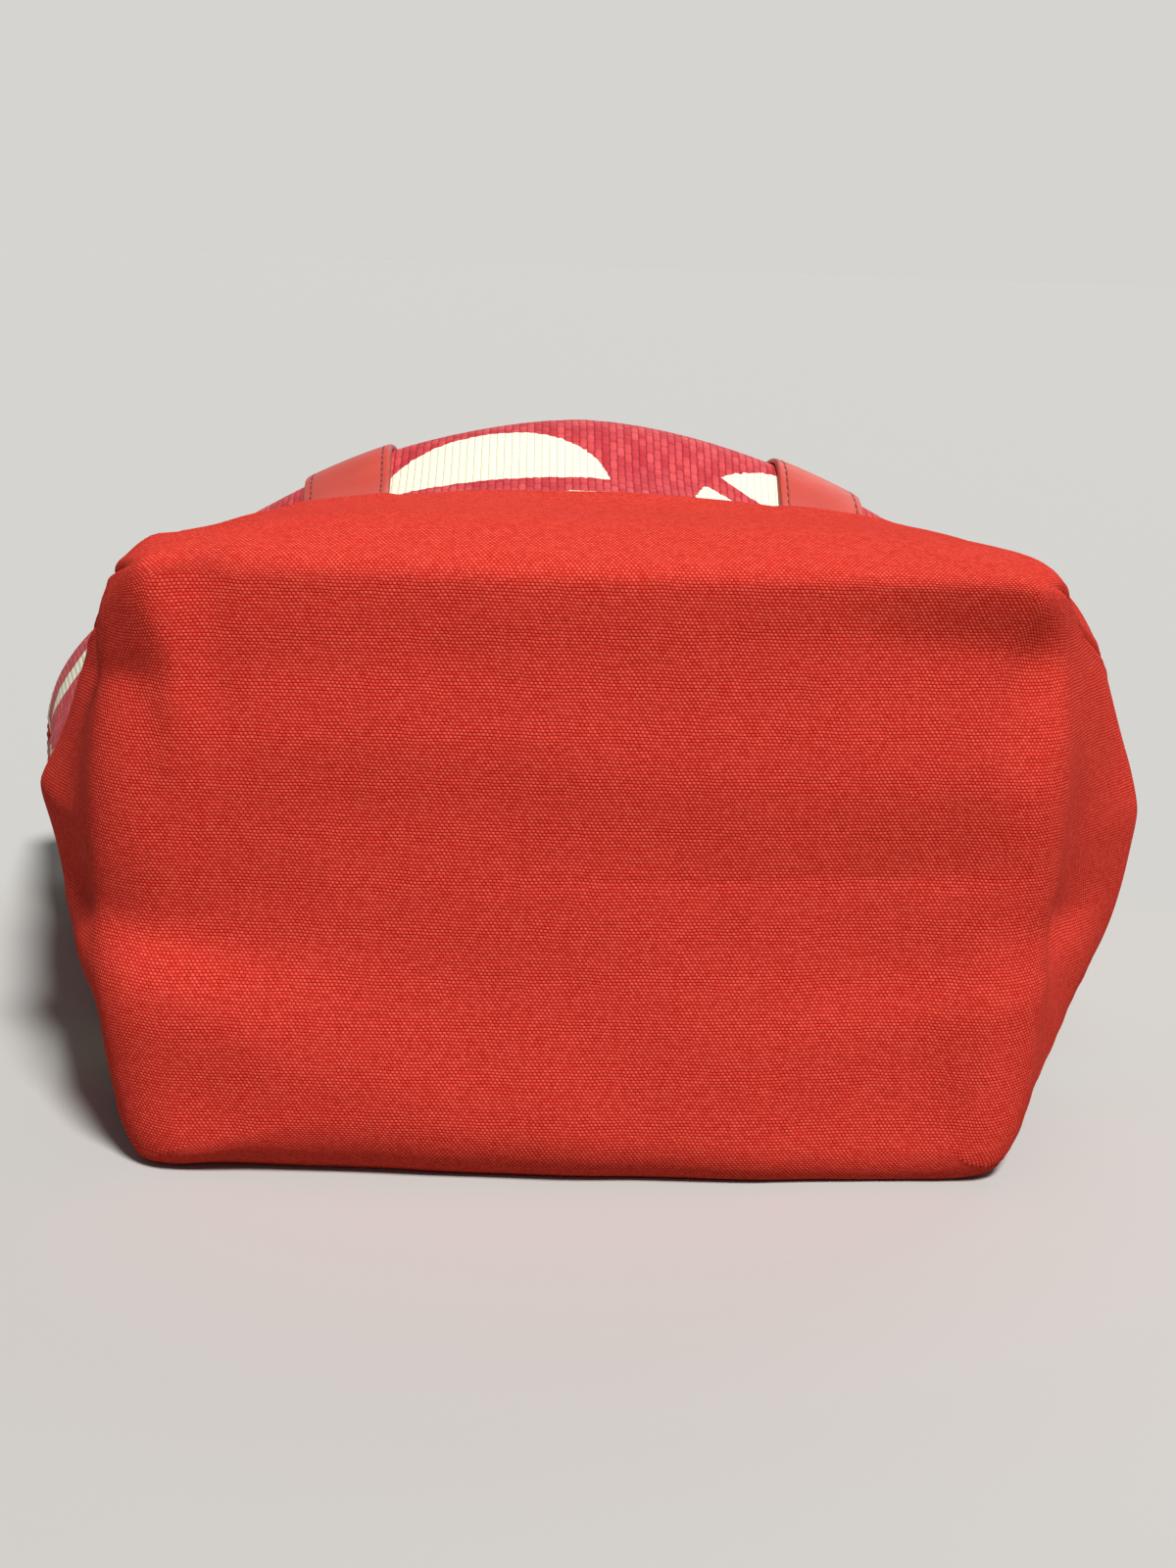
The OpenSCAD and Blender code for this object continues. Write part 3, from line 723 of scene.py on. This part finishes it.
def fold_height(x, z, edge, above, below, line):
    """Height of one fold: an edge along a line of points, with a flank on either side."""
    best = np.full(x.shape, np.inf)
    height, side = np.zeros_like(x), np.zeros_like(x)
    for (x0, z0, h0), (x1, z1, h1) in zip(line, line[1:]):
        dx, dz = x1 - x0, z1 - z0
        length = hypot(dx, dz)
        t = np.clip(((x - x0) * dx + (z - z0) * dz) / length**2, 0, 1)
        gap = np.hypot(x - x0 - t * dx, z - z0 - t * dz)
        across = (dx * (z - z0) - dz * (x - x0)) / length
        nearer = gap < best
        best = np.where(nearer, gap, best)
        height = np.where(nearer, mix(h0, h1, t), height)
        side = np.where(nearer, across / np.maximum(gap, 1e-6), side)
    reach = mix(below, above, smooth(0.5 + 0.5 * side))
    return height * np.exp(-(np.hypot(best, edge) - edge) / reach)


def relief(points):
    """How far the folds push the cloth out, fading towards the rim of the cup."""
    total = sum(fold_height(points[..., 0], points[..., 2], *fold) for fold in CURVED_FOLDS)
    return total * (1 - smooth((points[..., 1] - 40) / 40))


def crumple(points, size=0.35):
    """Small uneven waves all over the cloth."""
    total = np.zeros(points.shape[:-1])
    for _ in range(9):
        way = waves.normal(size=3)
        way *= 2 * pi / waves.uniform(26, 75) / np.linalg.norm(way)
        total += np.sin(points @ way + waves.uniform(0, 2 * pi))
    return total / 3 * size


def normals_of(points, closed=False):
    """Outward normals of a grid, or of one that closes on itself."""
    around = np.gradient(points, axis=1)
    if closed:
        around = np.roll(points, -1, 1) - np.roll(points, 1, 1)
    n = unit(np.cross(np.gradient(points, axis=0), around))
    outward = n[..., 0] * points[..., 0] + n[..., 2] * (points[..., 2] - BASE_DEPTH / 2)
    return n if outward.sum() > 0 else -n


DISC_ROWS, CLIMB_ROWS = 34, 35
# Radius of the base's edge at the left and right end of its upper and lower side, and in the
# middle of its left and right side; then the radius at an upper and a lower corner, and how
# far from it that is felt
TOP_EDGE, LOWER_EDGE, SIDE_EDGE = (8, 5), (23, 14), (22, 30)
UPPER_CORNER, LOWER_CORNER = (4.5, 14), (14, 24)
FLARE_SPAN, MOST_FLARE, FLARE_BLUR = 14, 0.6, 8


def roll_radius(turn):
    """Radius of the edge round the base: soft on the right and below, small at the corners."""
    x, z = np.cos(turn), np.sin(turn)
    level, above = np.abs(z) > np.abs(x), z > 0
    x, z = x / np.maximum(np.abs(x), np.abs(z)), z / np.maximum(np.abs(x), np.abs(z))
    to_right = smooth(0.5 + 0.5 * x)
    along = np.where(above, mix(*TOP_EDGE, to_right), mix(*LOWER_EDGE, to_right))
    radius = np.where(level, along, mix(*SIDE_EDGE, to_right))
    gap = np.where(level, (1 - np.abs(x)) * BASE_WIDTH / 2, (1 - np.abs(z)) * BASE_DEPTH / 2)
    corner, reach = (np.where(above, *pair) for pair in zip(UPPER_CORNER, LOWER_CORNER))
    return mix(radius, corner, bell(gap / reach))


def rolled_edge(turns, steps=9):
    """Rows of the edge round the base, an arc from the flat base to the slope of the walls,
    and the distance from the base where each column's arc ends."""
    radius = roll_radius(turns)
    foot = skin(0, turns)
    rise = ((skin(FLARE_SPAN, turns) - foot) * (skin(0, turns, 1) - foot)).sum(-1)
    flare = np.clip(rise / FLARE_SPAN, 0, MOST_FLARE)
    # Evened out round the corners, where one side's slope meets the other's
    shifts = range(-FLARE_BLUR, FLARE_BLUR + 1)
    flare = sum(np.roll(flare, k) for k in shifts) / len(shifts)
    last = np.arctan2(1, flare)
    rows = []
    for a in np.linspace(0, last, steps):
        inset = (np.sin(last) - np.sin(a)) - flare * (np.cos(a) - np.cos(last))
        d = radius * (1 - np.cos(a))
        rows.append(skin(d, lean(turns, d), inset=radius * inset))
    return rows, radius * (1 - np.cos(last))


def over_strap(x):
    """1 where the rim passes over a strap, falling to 0 beside it."""
    return 1 - smooth((np.abs(np.abs(x) - STRAP_SPACING / 2) - STRAP_WIDTH / 2 + 1) / 5)


def cup_surface():
    """Grid of the cup from the middle of the base to the rim, and the row of the base edge."""
    rolled, rolled_to = rolled_edge(TURNS)
    middle = np.array([0, 0, BASE_DEPTH / 2])
    disc = np.array([mix(middle, rolled[0], s) for s in np.linspace(0.02, 0.98, DISC_ROWS)])
    disc[..., 1] = 0
    climb = []
    for t in np.linspace(0, 1, CLIMB_ROWS)[1:]:
        d = mix(rolled_to, CUP_HEIGHT, t)
        climb.append(skin(d, lean(TURNS, d)))
    return np.array([*disc, *rolled, *climb]), len(disc)


# A corner seam is a groove between two low ridges, puckered along its length: depth or height,
# distance from the seam, and reach
GROOVE, RIDGE, PUCKER, PUCKER_PITCH = (-1.0, 0.0, 1.0), (0.4, 3.2, 1.8), (0.14, 0.0, 6), 1.5
# The notch in the upper left seam: how far up it lies, and its depth and reach
NOTCH_AT, NOTCH = 24, 2.6
# How far the rim is raised over a strap, and how much thinner its hem is there
STRAP_RAISE, STRAP_THIN = 1.2, 1.1


def beside(gap, height, centre, reach):
    """A low ridge or groove, by the gap to the line that it runs beside."""
    return height * bell((gap - centre) / reach)


def cup():
    """The cup's grid with its folds, seams and hem, and the row of the base edge."""
    points, edge_row = cup_surface()
    n = normals_of(points, closed=True)
    n[:edge_row] = [0, -1, 0]
    # Folds move the cloth straight back and forth by the base edge, and along its own
    # normals further up the walls
    walls = smooth((points[..., 1] - 8) / 24)[..., None]
    folded = relief(points)[..., None] * mix(np.array([0, -1, 0]), n, walls)
    out = crumple(points)
    around = arc_lengths(points, 1)
    fade = smooth((points[..., 1] - 3) / 12)
    for k, column in enumerate(SEAMS):
        gap = np.abs(around - around[:, column : column + 1])
        pucker = np.sin(points[..., 1] / PUCKER_PITCH + k) * beside(gap, *PUCKER)
        out += fade * (beside(gap, *GROOVE) + beside(gap, *RIDGE) + pucker)
    notch = skin(NOTCH_AT, lean(TURNS[SEAMS[1]], NOTCH_AT))
    out -= beside(np.linalg.norm(points - notch, axis=-1), NOTCH, 0, NOTCH)
    points_out = points + folded + out[..., None] * n
    lift_to_floor(points_out)
    raised = STRAP_RAISE * over_strap(points[..., 0]) * smooth((points[..., 1] - 56) / 14)
    points_out += (raised * (points[..., 2] > BASE_DEPTH / 2))[..., None] * n

    # The hem folds in at the rim, thinner where it lies on a strap, and runs back inside
    rim = points_out[-1]
    onward = unit(rim - points_out[-3])
    inward = -unit(n[-1] - (n[-1] * onward).sum(-1, keepdims=True) * onward)
    thick = HEM - STRAP_THIN * over_strap(rim[..., 0]) * (rim[..., 2] > BASE_DEPTH / 2)
    thick = thick[:, None]
    hem = [
        rim + thick / 2 * (1 - cos(a)) * inward + thick / 2 * sin(a) * onward
        for a in np.radians([30, 60, 90, 120, 150, 180])
    ]
    hem.append(points_out[-4] + thick * inward)
    hemmed = np.concatenate([points_out, hem])
    lift_to_floor(hemmed)
    return hemmed, edge_row


def cup_uvs(points, edge_row):
    """Four tables of UVs, each keeping the weave straight over the base and up one side, and
    which of them each column takes."""
    wrapped = wrap(points)
    base_uv = wrapped[..., [0, 2]]
    around, along = arc_lengths(wrapped, 1)[edge_row:], arc_lengths(wrapped[edge_row:], 0)
    uv = np.array([base_uv] * 4)
    for side in range(4):
        spread = around - around[:, side * QUARTER : side * QUARTER + 1]
        if side == 0:
            length = around[:, -1:]
            spread = np.where(spread > length / 2, spread - length, spread)
        spread = spread - spread[:1]
        turned = [(along, spread), (-spread, along), (-along, -spread), (spread, -along)][side]
        uv[side, edge_row:] = base_uv[edge_row] + np.stack(turned, -1)
    return uv, np.searchsorted(SEAMS, np.arange(points.shape[1]), side="right") % 4


def canvas_cup():
    """The canvas cup, with its base closed by a fan of faces round the middle."""
    points, edge_row = cup()
    count = points.shape[1]
    flat, faces, uvs = grid(points, *cup_uvs(points, edge_row), close=True)
    flat = np.vstack([flat, points[0].mean(0)])
    fan = [[len(flat) - 1, (q + 1) % count, q] for q in range(count)]
    part = flat, faces + fan, np.concatenate([uvs, flat[np.ravel(fan)][:, [0, 2]]])
    return piece("canvas_cup", part, canvas_cloth, ["base_canvas"])


# ---- Woven body ----
def ring_uv(points, centre):
    """UVs in millimetres, running both ways round from one column and away from the base."""
    around, along = arc_lengths(points, 1), arc_lengths(points, 0)
    across = around - around[:, centre : centre + 1]
    return np.stack([across, along[:, centre : centre + 1] + 0 * across], -1)


def woven_panel(name, turns, node):
    """A woven panel from under the cup's rim to the mouth, drawn in at its side seams."""
    climb, step = np.arange(WEAVE_START, STEP_START, 3.0), np.linspace(STEP_START, MOUTH_EDGE, 9)
    d = np.concatenate([climb, step])[:, None]
    points = settle(skin(d, turns, -layer(d, WEAVE_DEPTH)))
    around = arc_lengths(points, 1)
    for edge in (around, around[:, -1:] - around):
        points -= (SEAM_DRAW * bell(edge / SEAM_DRAW_REACH))[..., None] * normals_of(points)
    lift_to_floor(points, PANEL_LIFT)
    part = grid(points, ring_uv(points, len(turns) // 2))
    return piece(name, part, woven, [node])


def settle(points):
    """Points of an inner layer, moved with the folds of the cup over them."""
    return points + relief(points)[..., None] * normals_of(points)


def side_tape(name, centre, node):
    """A tape over the seam of the woven panels, inside one side of the bag."""
    d = np.arange(WEAVE_START, STEP_START, 6.0)[:, None]
    turns = centre + np.radians(np.linspace(-4, 4, 5))
    points = settle(skin(d, turns, -layer(d, SEAM_TAPE_DEPTH)))
    part = grid(points, ring_uv(points, 2))
    piece(name, part, tape_cloth, [node])


def corner_tapes():
    """The tapes inside the four corner seams of the cup, as one piece."""
    d = np.linspace(14, CUP_HEIGHT - 22, 9)[:, None]
    seam = CORNER * mix(1, SEAM_LEAN, d / CUP_HEIGHT) + np.radians(np.linspace(-2.2, 2.2, 5))
    tapes = [
        settle(skin(d, turn, 1 - SEAM_TAPE_DEPTH))
        for turn in (seam, pi - seam, pi + seam, -seam)
    ]
    part = join([grid(points, ring_uv(points, 2)) for points in tapes])
    piece("corner_tapes", part, tape_cloth, ["corner_seam_tapes"])


# ---- Base board and lining ----
def inner_base(y, inset, rows):
    """Rings of a flat piece inside the base, following the hollows of the cup."""
    turns = TURNS[::4]
    edge = skin(0, turns, inset=inset + np.maximum(0.75 * roll_radius(turns) - 9, 0))
    rings = np.array([mix([0, 0, BASE_DEPTH / 2], edge, s) for s in np.linspace(0.02, 1, rows)])
    rings[..., 1] = 0
    rings[..., 1] = y + np.maximum(0, -relief(rings))
    return rings


def base_stiffener():
    """The board between the cup and the lining."""
    front = inner_base(1.6, 10, 16)
    points = np.concatenate([front, front[::-1] + [0, BOARD_THICKNESS, 0]])
    part = grid(points, wrap(points)[..., [0, 2]], close=True)
    return piece("base_stiffener", part, board, ["base_board"])


def lining():
    """The lining, flat on the base and hanging in soft folds from the facing."""
    turns = TURNS[::2]
    coarse = np.append(TURNS[::4], 2 * pi)
    rings = wrap(inner_base(LINING_FLOOR, 12, LINING_RINGS))
    base = np.array([[np.interp(turns, coarse, axis) for axis in ring.T] for ring in rings])
    wall = []
    for a in np.radians(np.arange(15, 91, 15)):
        d, inset = LINING_FLOOR + 8 * (1 - cos(a)), 7 * (1 - sin(a))
        wall.append(skin(d, turns, -LINING_DEPTH, inset))
    lie = smooth((np.sin(turns) + 0.9) / 0.5)
    for d in np.linspace(16, LINING_END, 60):
        fold = 1.1 + np.sin(d / 21 + 3 * np.cos(turns)) * np.cos(5 * turns + d / 37)
        wall.append(skin(d, turns, -(LINING_DEPTH + lie * 0.8 * fold * smooth((d - 16) / 40))))
    wall = np.array(wall)
    wall += np.minimum(relief(wall), 0)[..., None] * normals_of(wall, closed=True)
    points = np.concatenate([base.swapaxes(1, 2), wall])
    wrapped = wrap(points)
    uv = lengths(wrapped)
    uv[:LINING_RINGS] = wrapped[:LINING_RINGS][..., [0, 2]]
    part, nodes = grid(points, uv, close=True), ["lining_body", "lining_base"]
    return piece("lining", part, lining_cloth, nodes, inward=True)


# ---- Mouth ----
def facing():
    """The facing inside the mouth, and the two lines of stitches along its hem."""
    turns = TURNS[::2]
    rows = [(LINING_END + 0.6, LINING_DEPTH - 0.3), (LINING_END + 0.3, FACING_DEPTH - 0.2)]
    rows += [(d, FACING_DEPTH) for d in np.linspace(LINING_END + 0.5, MOUTH_EDGE, 22)]
    points = np.array([skin(d, turns, -layer(d, depth)) for d, depth in rows])
    part = grid(points, lengths(wrap(points)), close=True)
    made = piece("facing", part, trim_cloth, ["mouth_facing"], inward=True)
    return made, [ring_line(LINING_END + up, FACING_DEPTH + 0.05, -1) for up in (3, 6)]


def ring_line(d, depth, sign):
    """A line all round at one distance and depth, with its normals out (1) or in (-1)."""
    turns = np.linspace(0, 2 * pi, 361)
    depth = layer(d, depth) if d < BINDING_START else depth
    path = skin(d, turns, -depth)
    return path, sign * (skin(d, turns, 1 - depth) - path)


# Half the binding's section, from its turned-in edge to its fold over the mouth: how far from
# its start and how deep below its own outer face
BINDING_HALF = [
    (0.3, 1.1), (0, 0.8), (0, 0.5), (0.3, 0), (2, 0), (4, 0), (7, 0), (10, 0), (11.25, 0),
    (11.85, 0.35), (12.15, 1.1),
]


def binding():
    """The tape folded over the mouth's edge, and its line of stitches outside and inside."""
    outer, inner, middle = 2.3, 8.4, 5.3
    profile = [(up, outer + depth) for up, depth in BINDING_HALF] + [(BINDING_HALF[-1][0], middle)]
    profile += [(up, inner - depth) for up, depth in reversed(BINDING_HALF)]
    turns = TURNS[::2]
    points = np.array([skin(BINDING_START + up, turns, -depth) for up, depth in profile])
    part = grid(points, lengths(wrap(points)), close=True)
    made = piece("mouth_binding_tape", part, trim_cloth, ["mouth_binding"])
    return made, [ring_line(BINDING_START + 2, outer, 1), ring_line(BINDING_START + 2, inner, -1)]


# ---- Straps and handles ----
# The right half of a strap's upper side, from its edge: across and up, with the seam's groove
UPPER_SIDE = [
    (13.95, 0.35), (13.6, 0.8), (12.9, 1.03), (12.1, 1.03), (11.7, 0.95), (11.4, 0.7),
    (11.1, 0.95), (10.6, 1.05), (6, 1.05), (0, 1.05),
]
STITCH_LINE = 11.4
TUCK_DEPTH, SLOPE_SPAN, ARCH_ROWS, LEG_ROWS = 1.55, 2, 49, 40


def strap_section():
    """Section of a strap: across and through, rounded at the edges and grooved at each seam."""
    upper = UPPER_SIDE + [(-w, h) for w, h in UPPER_SIDE[-2::-1]]
    tip = STRAP_WIDTH / 2
    return [(tip, 0.0), *upper, (-tip, 0.0), *((-w, -h) for w, h in upper)]


def middle_height(turn):
    """Height of a strap's middle over its lowest edge, when it is turned towards its edge."""
    return STRAP_WIDTH / 2 * sin(turn) + STRAP_THICKNESS / 2 * cos(turn)


class Strap:
    """One strap from the cup, up the panel, round the handle loop and back down."""

    def __init__(self, front):
        self.front = front
        self.d = np.concatenate(
            [np.arange(CUP_HEIGHT - STRAP_TUCK, 84, 2.0), np.arange(86, 296, 5.0), [298.0]]
        )
        top = skin([BODY_LENGTH - SLOPE_SPAN, BODY_LENGTH], pi / 2)[:, 2]
        self.slope = atan((top[0] - top[1]) / SLOPE_SPAN) if front else 0.0
        half = STRAP_SPACING / 2
        edges = [half - STRAP_WIDTH / 2, half + STRAP_WIDTH / 2]
        inner, outer = skin(BODY_LENGTH, turn_at(BODY_LENGTH, edges))[:, 2]
        self.tilt = atan((inner - outer) / STRAP_WIDTH) if front else 0.0
        root = skin(BODY_LENGTH, turn_at(BODY_LENGTH, half), -STRAP_THICKNESS / 2)[2]
        lift = middle_height(self.tilt)
        reach = ROOT_GAP + STRAP_THICKNESS / 2 * sin(self.slope)
        if front:
            height = root - reach * tan(self.slope) - lift * cos(self.slope) - STRAP_REST
            self.start = BODY_LENGTH + reach - lift * sin(self.slope), height
            self.straight = (height - HANDLE_BEND * (1 - cos(self.slope))) / sin(self.slope)
        self.frames = [self.loop_frame(*plan) for plan in self.plan()]

    def plan(self):
        """Flat pattern of the loop: across, along, heading, and how far it has turned on edge."""
        radius = FRONT_ARCH if self.front else BACK_ARCH
        leg, half = HANDLE_DROP - radius, STRAP_SPACING / 2
        out = [
            (-mix(half, radius, smooth(t)), t * leg, pi / 2, smooth(t))
            for t in np.arange(LEG_ROWS) / LEG_ROWS
        ]
        arch = [
            (radius * cos(a), leg + radius * sin(a), a - pi / 2, 1)
            for a in np.linspace(pi, 0, ARCH_ROWS)
        ]
        return out + arch + [(-x, v, -heading, edge) for x, v, heading, edge in out[::-1]]

    def droop(self, v):
        """Side view of the loop's lower edge: distance from the base, height and slope."""
        if not self.front:
            return BODY_LENGTH + ROOT_GAP + v * (1 - ROOT_GAP / HANDLE_DROP), 0.0, 0.0
        run = min(v, self.straight)
        arc = min(v - run, HANDLE_BEND * self.slope)
        left = self.slope - arc / HANDLE_BEND
        ahead = run * cos(self.slope) + HANDLE_BEND * (sin(self.slope) - sin(left))
        down = run * sin(self.slope) + HANDLE_BEND * (cos(left) - cos(self.slope))
        return self.start[0] + ahead + v - run - arc, self.start[1] + STRAP_REST - down, -left

    def loop_frame(self, across_at, v, heading, edge):
        """Middle of the loop's section at one place, and its directions across and through."""
        y, z, slope = self.droop(v)
        turn = mix(self.tilt, pi / 2, edge)
        along = np.array([0, cos(slope), sin(slope)])
        up = np.array([0, -sin(slope), cos(slope)])
        side = np.array([1.0, 0, 0])
        outward = cos(heading) * along - sin(heading) * side
        ahead = cos(heading) * side + sin(heading) * along
        normal = cos(turn) * up + sin(turn) * outward
        middle = np.array([across_at, y, z]) + middle_height(turn) * up
        return middle, np.cross(ahead, normal), normal

    def on_panel(self, side, w, h):
        """Points of the strap where it lies on the bag, for one place in its section."""
        x = side * STRAP_SPACING / 2 - side * w
        top = TUCK_DEPTH * (1 - smooth((self.d - CUP_HEIGHT - 0.5) / 4))
        share = 0.5 + (h if self.front else -h) / STRAP_THICKNESS
        depth = mix(STRAP_THICKNESS, top, share)
        if self.front:
            return skin(self.d, turn_at(self.d, x), -depth)
        return np.stack([np.full_like(self.d, x), self.d, depth], -1)

    def line(self, w, h):
        """The whole length of the strap at one place in its section."""
        loop = [middle + w * across + h * normal for middle, across, normal in self.frames]
        return np.concatenate([self.on_panel(-1, w, h), loop, self.on_panel(1, w, h)[::-1]])


def strap(front):
    """One strap with its loop, bending at the mouth, and its rows of stitches."""
    side = "front" if front else "back"
    body = f"{side}_handle"
    made = Strap(front)
    ring = strap_section()
    points = np.stack([made.line(w, h) for w, h in ring], 1)
    along = arc_lengths(wrap(points), 0)
    around = arc_lengths(np.array(ring + ring[:1]), 0)
    part = grid(points, np.stack([0 * along + around, along], -1), close=True)
    nodes = [f"{side}_strap_left", f"{side}_strap_right", body]
    leather_piece = piece(f"{side}_strap", part, leather, nodes, None)

    lines = []
    panel = len(made.d)
    for w in (-STITCH_LINE, STITCH_LINE):
        for h, whole in ((1, front), (-1, not front)):
            path, base = made.line(w, h * 0.85), made.line(w, 0)
            keep = slice(None) if whole else slice(panel - 2, len(path) - panel + 2)
            lines.append((path[keep], (path - base)[keep]))
    thread_piece = piece(f"{side}_strap_thread", stitches(lines), red_thread, (), None)

    # Points a short length either side of the strap's start at the mouth, round the joint; then both
    # pieces get their transforms applied
    centre = made.frames[0][0]
    ahead = np.array([0, cos(made.slope), -sin(made.slope)])
    start, end = place(centre - 9 * ahead), place(centre + 8 * ahead)
    for part in (leather_piece, thread_piece):
        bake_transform(part)


# ---- Pocket ----
def pocket():
    """The slip pocket and its tape, the lines of its seams, and the line of its hem."""
    x = np.linspace(-POCKET_WIDTH / 2, POCKET_WIDTH / 2, 41)
    d = np.linspace(POCKET_MOUTH - POCKET_DEPTH, POCKET_MOUTH - 1, 41)[:, None]
    inward = 1 - (x / (POCKET_WIDTH / 2)) ** 2
    gape = 1.6 * inward * smooth((d - d[0]) / POCKET_DEPTH)
    edge = np.minimum(POCKET_WIDTH / 2 - np.abs(x), d - d[0])
    puff = 0.5 * smooth(edge / 8)
    points = np.stack([x + 0 * d, d + 0 * x, POCKET_LEVEL + gape + puff], -1)
    back = points[::-1] - [0, 0, 0.5]
    slab = np.concatenate([points, back, points[:1]])
    part = grid(slab, slab[..., :2])
    made = piece("pocket", part, lining_cloth, ["pocket_panel"])

    rim = points[-1]
    loop = [(-10, -0.45), (-10.2, 0.1), (-10, 0.5), (-5, 0.55), (-0.6, 0.55), (0, 0.2), (0, -0.6)]
    loop += [(-0.6, -0.95), (-5, -0.95), (-10, -0.9), (-10, -0.45)]
    tape = np.array([rim + [0, along + 1, rise] for along, rise in loop])
    part = grid(tape, np.stack([tape[..., 0], arc_lengths(tape, 0)], -1))
    made_tape = piece("pocket_tape", part, tape_cloth, ["pocket_binding"])

    left, right = points[:, 0] + [SEAM_INSET, 0, 0.1], points[:, -1] + [-SEAM_INSET, 0, 0.1]
    foot, hem = points[0, 3:-3] + [0, SEAM_INSET, 0.3], rim + [0, -7.5, 0.6]
    lines = [(path, np.broadcast_to([0, 0, 1.0], path.shape)) for path in (left, right, foot, hem)]
    return made, made_tape, lines[:3], lines[3:]


# ---- The bag ----
cup_piece = canvas_cup()
half = np.concatenate([quarter_turns()[::2], [pi / 2], pi - quarter_turns()[::-2]])
half[0], half[-1] = 0.004, pi - 0.004
front_piece = woven_panel("front_weave", half, "front_panel")
back_piece = woven_panel("back_weave", half + pi, "back_panel")
side_tape("left_side_tape", pi, "left_seam_tape")
side_tape("right_side_tape", 0.0, "right_seam_tape")
corner_tapes()
stiffener = base_stiffener()
lining_piece = lining()
facing_piece, facing_lines = facing()
binding_piece, binding_lines = binding()
strap(True)
strap(False)
pocket_piece, pocket_tape_piece, pocket_lines, hem_lines = pocket()
piece("mouth_thread", stitches(facing_lines + binding_lines), red_thread)
piece("pocket_thread", stitches(pocket_lines), cream_thread)
piece("pocket_hem_thread", stitches(hem_lines), red_thread)

for name in ("snap_socket", "snap_socket_washer", "snap_stud", "snap_stud_washer"):
    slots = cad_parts[name].data.materials
    if not slots:
        slots.append(nickel)
    for k in range(len(slots)):
        slots[k] = nickel

# ---- Floor, light and camera ----
FLOOR_REACH = 6.0
CLEAR_RAYS = ["Is Camera Ray", "Is Glossy Ray", "Is Transmission Ray"]


def clear_view(tree):
    """1 where something is seen by the camera, in a reflection or through glass."""
    clear, *others = tree.node("ShaderNodeLightPath", (), CLEAR_RAYS)
    for ray in others:
        clear = tree.maths("MAXIMUM", clear, ray)
    return clear


corners = [(x * FLOOR_REACH, y * FLOOR_REACH, 0) for x, y in ((-1, -1), (1, -1), (1, 1), (-1, 1))]
floor_mesh = bpy.data.meshes.new("floor")
floor_mesh.from_pydata(corners, [], [(0, 1, 2, 3)])
pale = Surface("pale_floor", 0.9, specular=0.1)
pale.set(pale.blend(clear_view(pale), linear(150, 146, 138), linear(192, 191, 187)), "Base Color")
floor_mesh.materials.append(pale.material)
floor = show("floor", floor_mesh)


def sun(name, towards, strength, spread):
    """A distant lamp in a direction from the bag, its disc spread over some degrees."""
    data = bpy.data.lights.new(name, "SUN")
    data.energy, data.angle = strength, radians(spread)
    show(name, data).rotation_euler = Vector(towards).to_track_quat("Z", "Y").to_euler()


sun("key", (0.19, -0.51, 0.84), 3.95, 12)
sun("back_fill", (0.35, 0.75, 0.55), 0.45, 40)

world = bpy.data.worlds.new("studio")
bpy.context.scene.world = world
studio = Tree(world)
lamp = {"Color": (0.95, 0.97, 1.0, 1), "Strength": 0.12}
backdrop = {"Color": linear(213, 212, 208), "Strength": 1.0}
light, seen = (studio.node("ShaderNodeBackground", inputs) for inputs in (lamp, backdrop))
shown = studio.node("ShaderNodeMixShader", {0: clear_view(studio), 1: light, 2: seen})
studio.link(shown, studio.tree.nodes["World Output"].inputs["Surface"])

# The camera stands low in front of the base, looking down a little and slightly rolled
CAMERA_PLACE = (-0.0243, -0.8957, 0.2903)
YAW, PITCH, ROLL = (radians(a) for a in (2.18, 14.8, 2.13))
lens = bpy.data.cameras.new("camera")
lens.sensor_width, lens.lens = 36, 54
lens.clip_start, lens.clip_end = 0.05, 50
camera = show("camera", lens)
camera.matrix_world = Matrix.Translation(CAMERA_PLACE)
for angle, axis in ((-YAW, "Z"), (pi / 2 - PITCH, "X"), (ROLL, "Z")):
    camera.matrix_world @= Matrix.Rotation(angle, 4, axis)
bpy.context.scene.camera = camera
bpy.context.scene.view_settings.view_transform = "Standard"
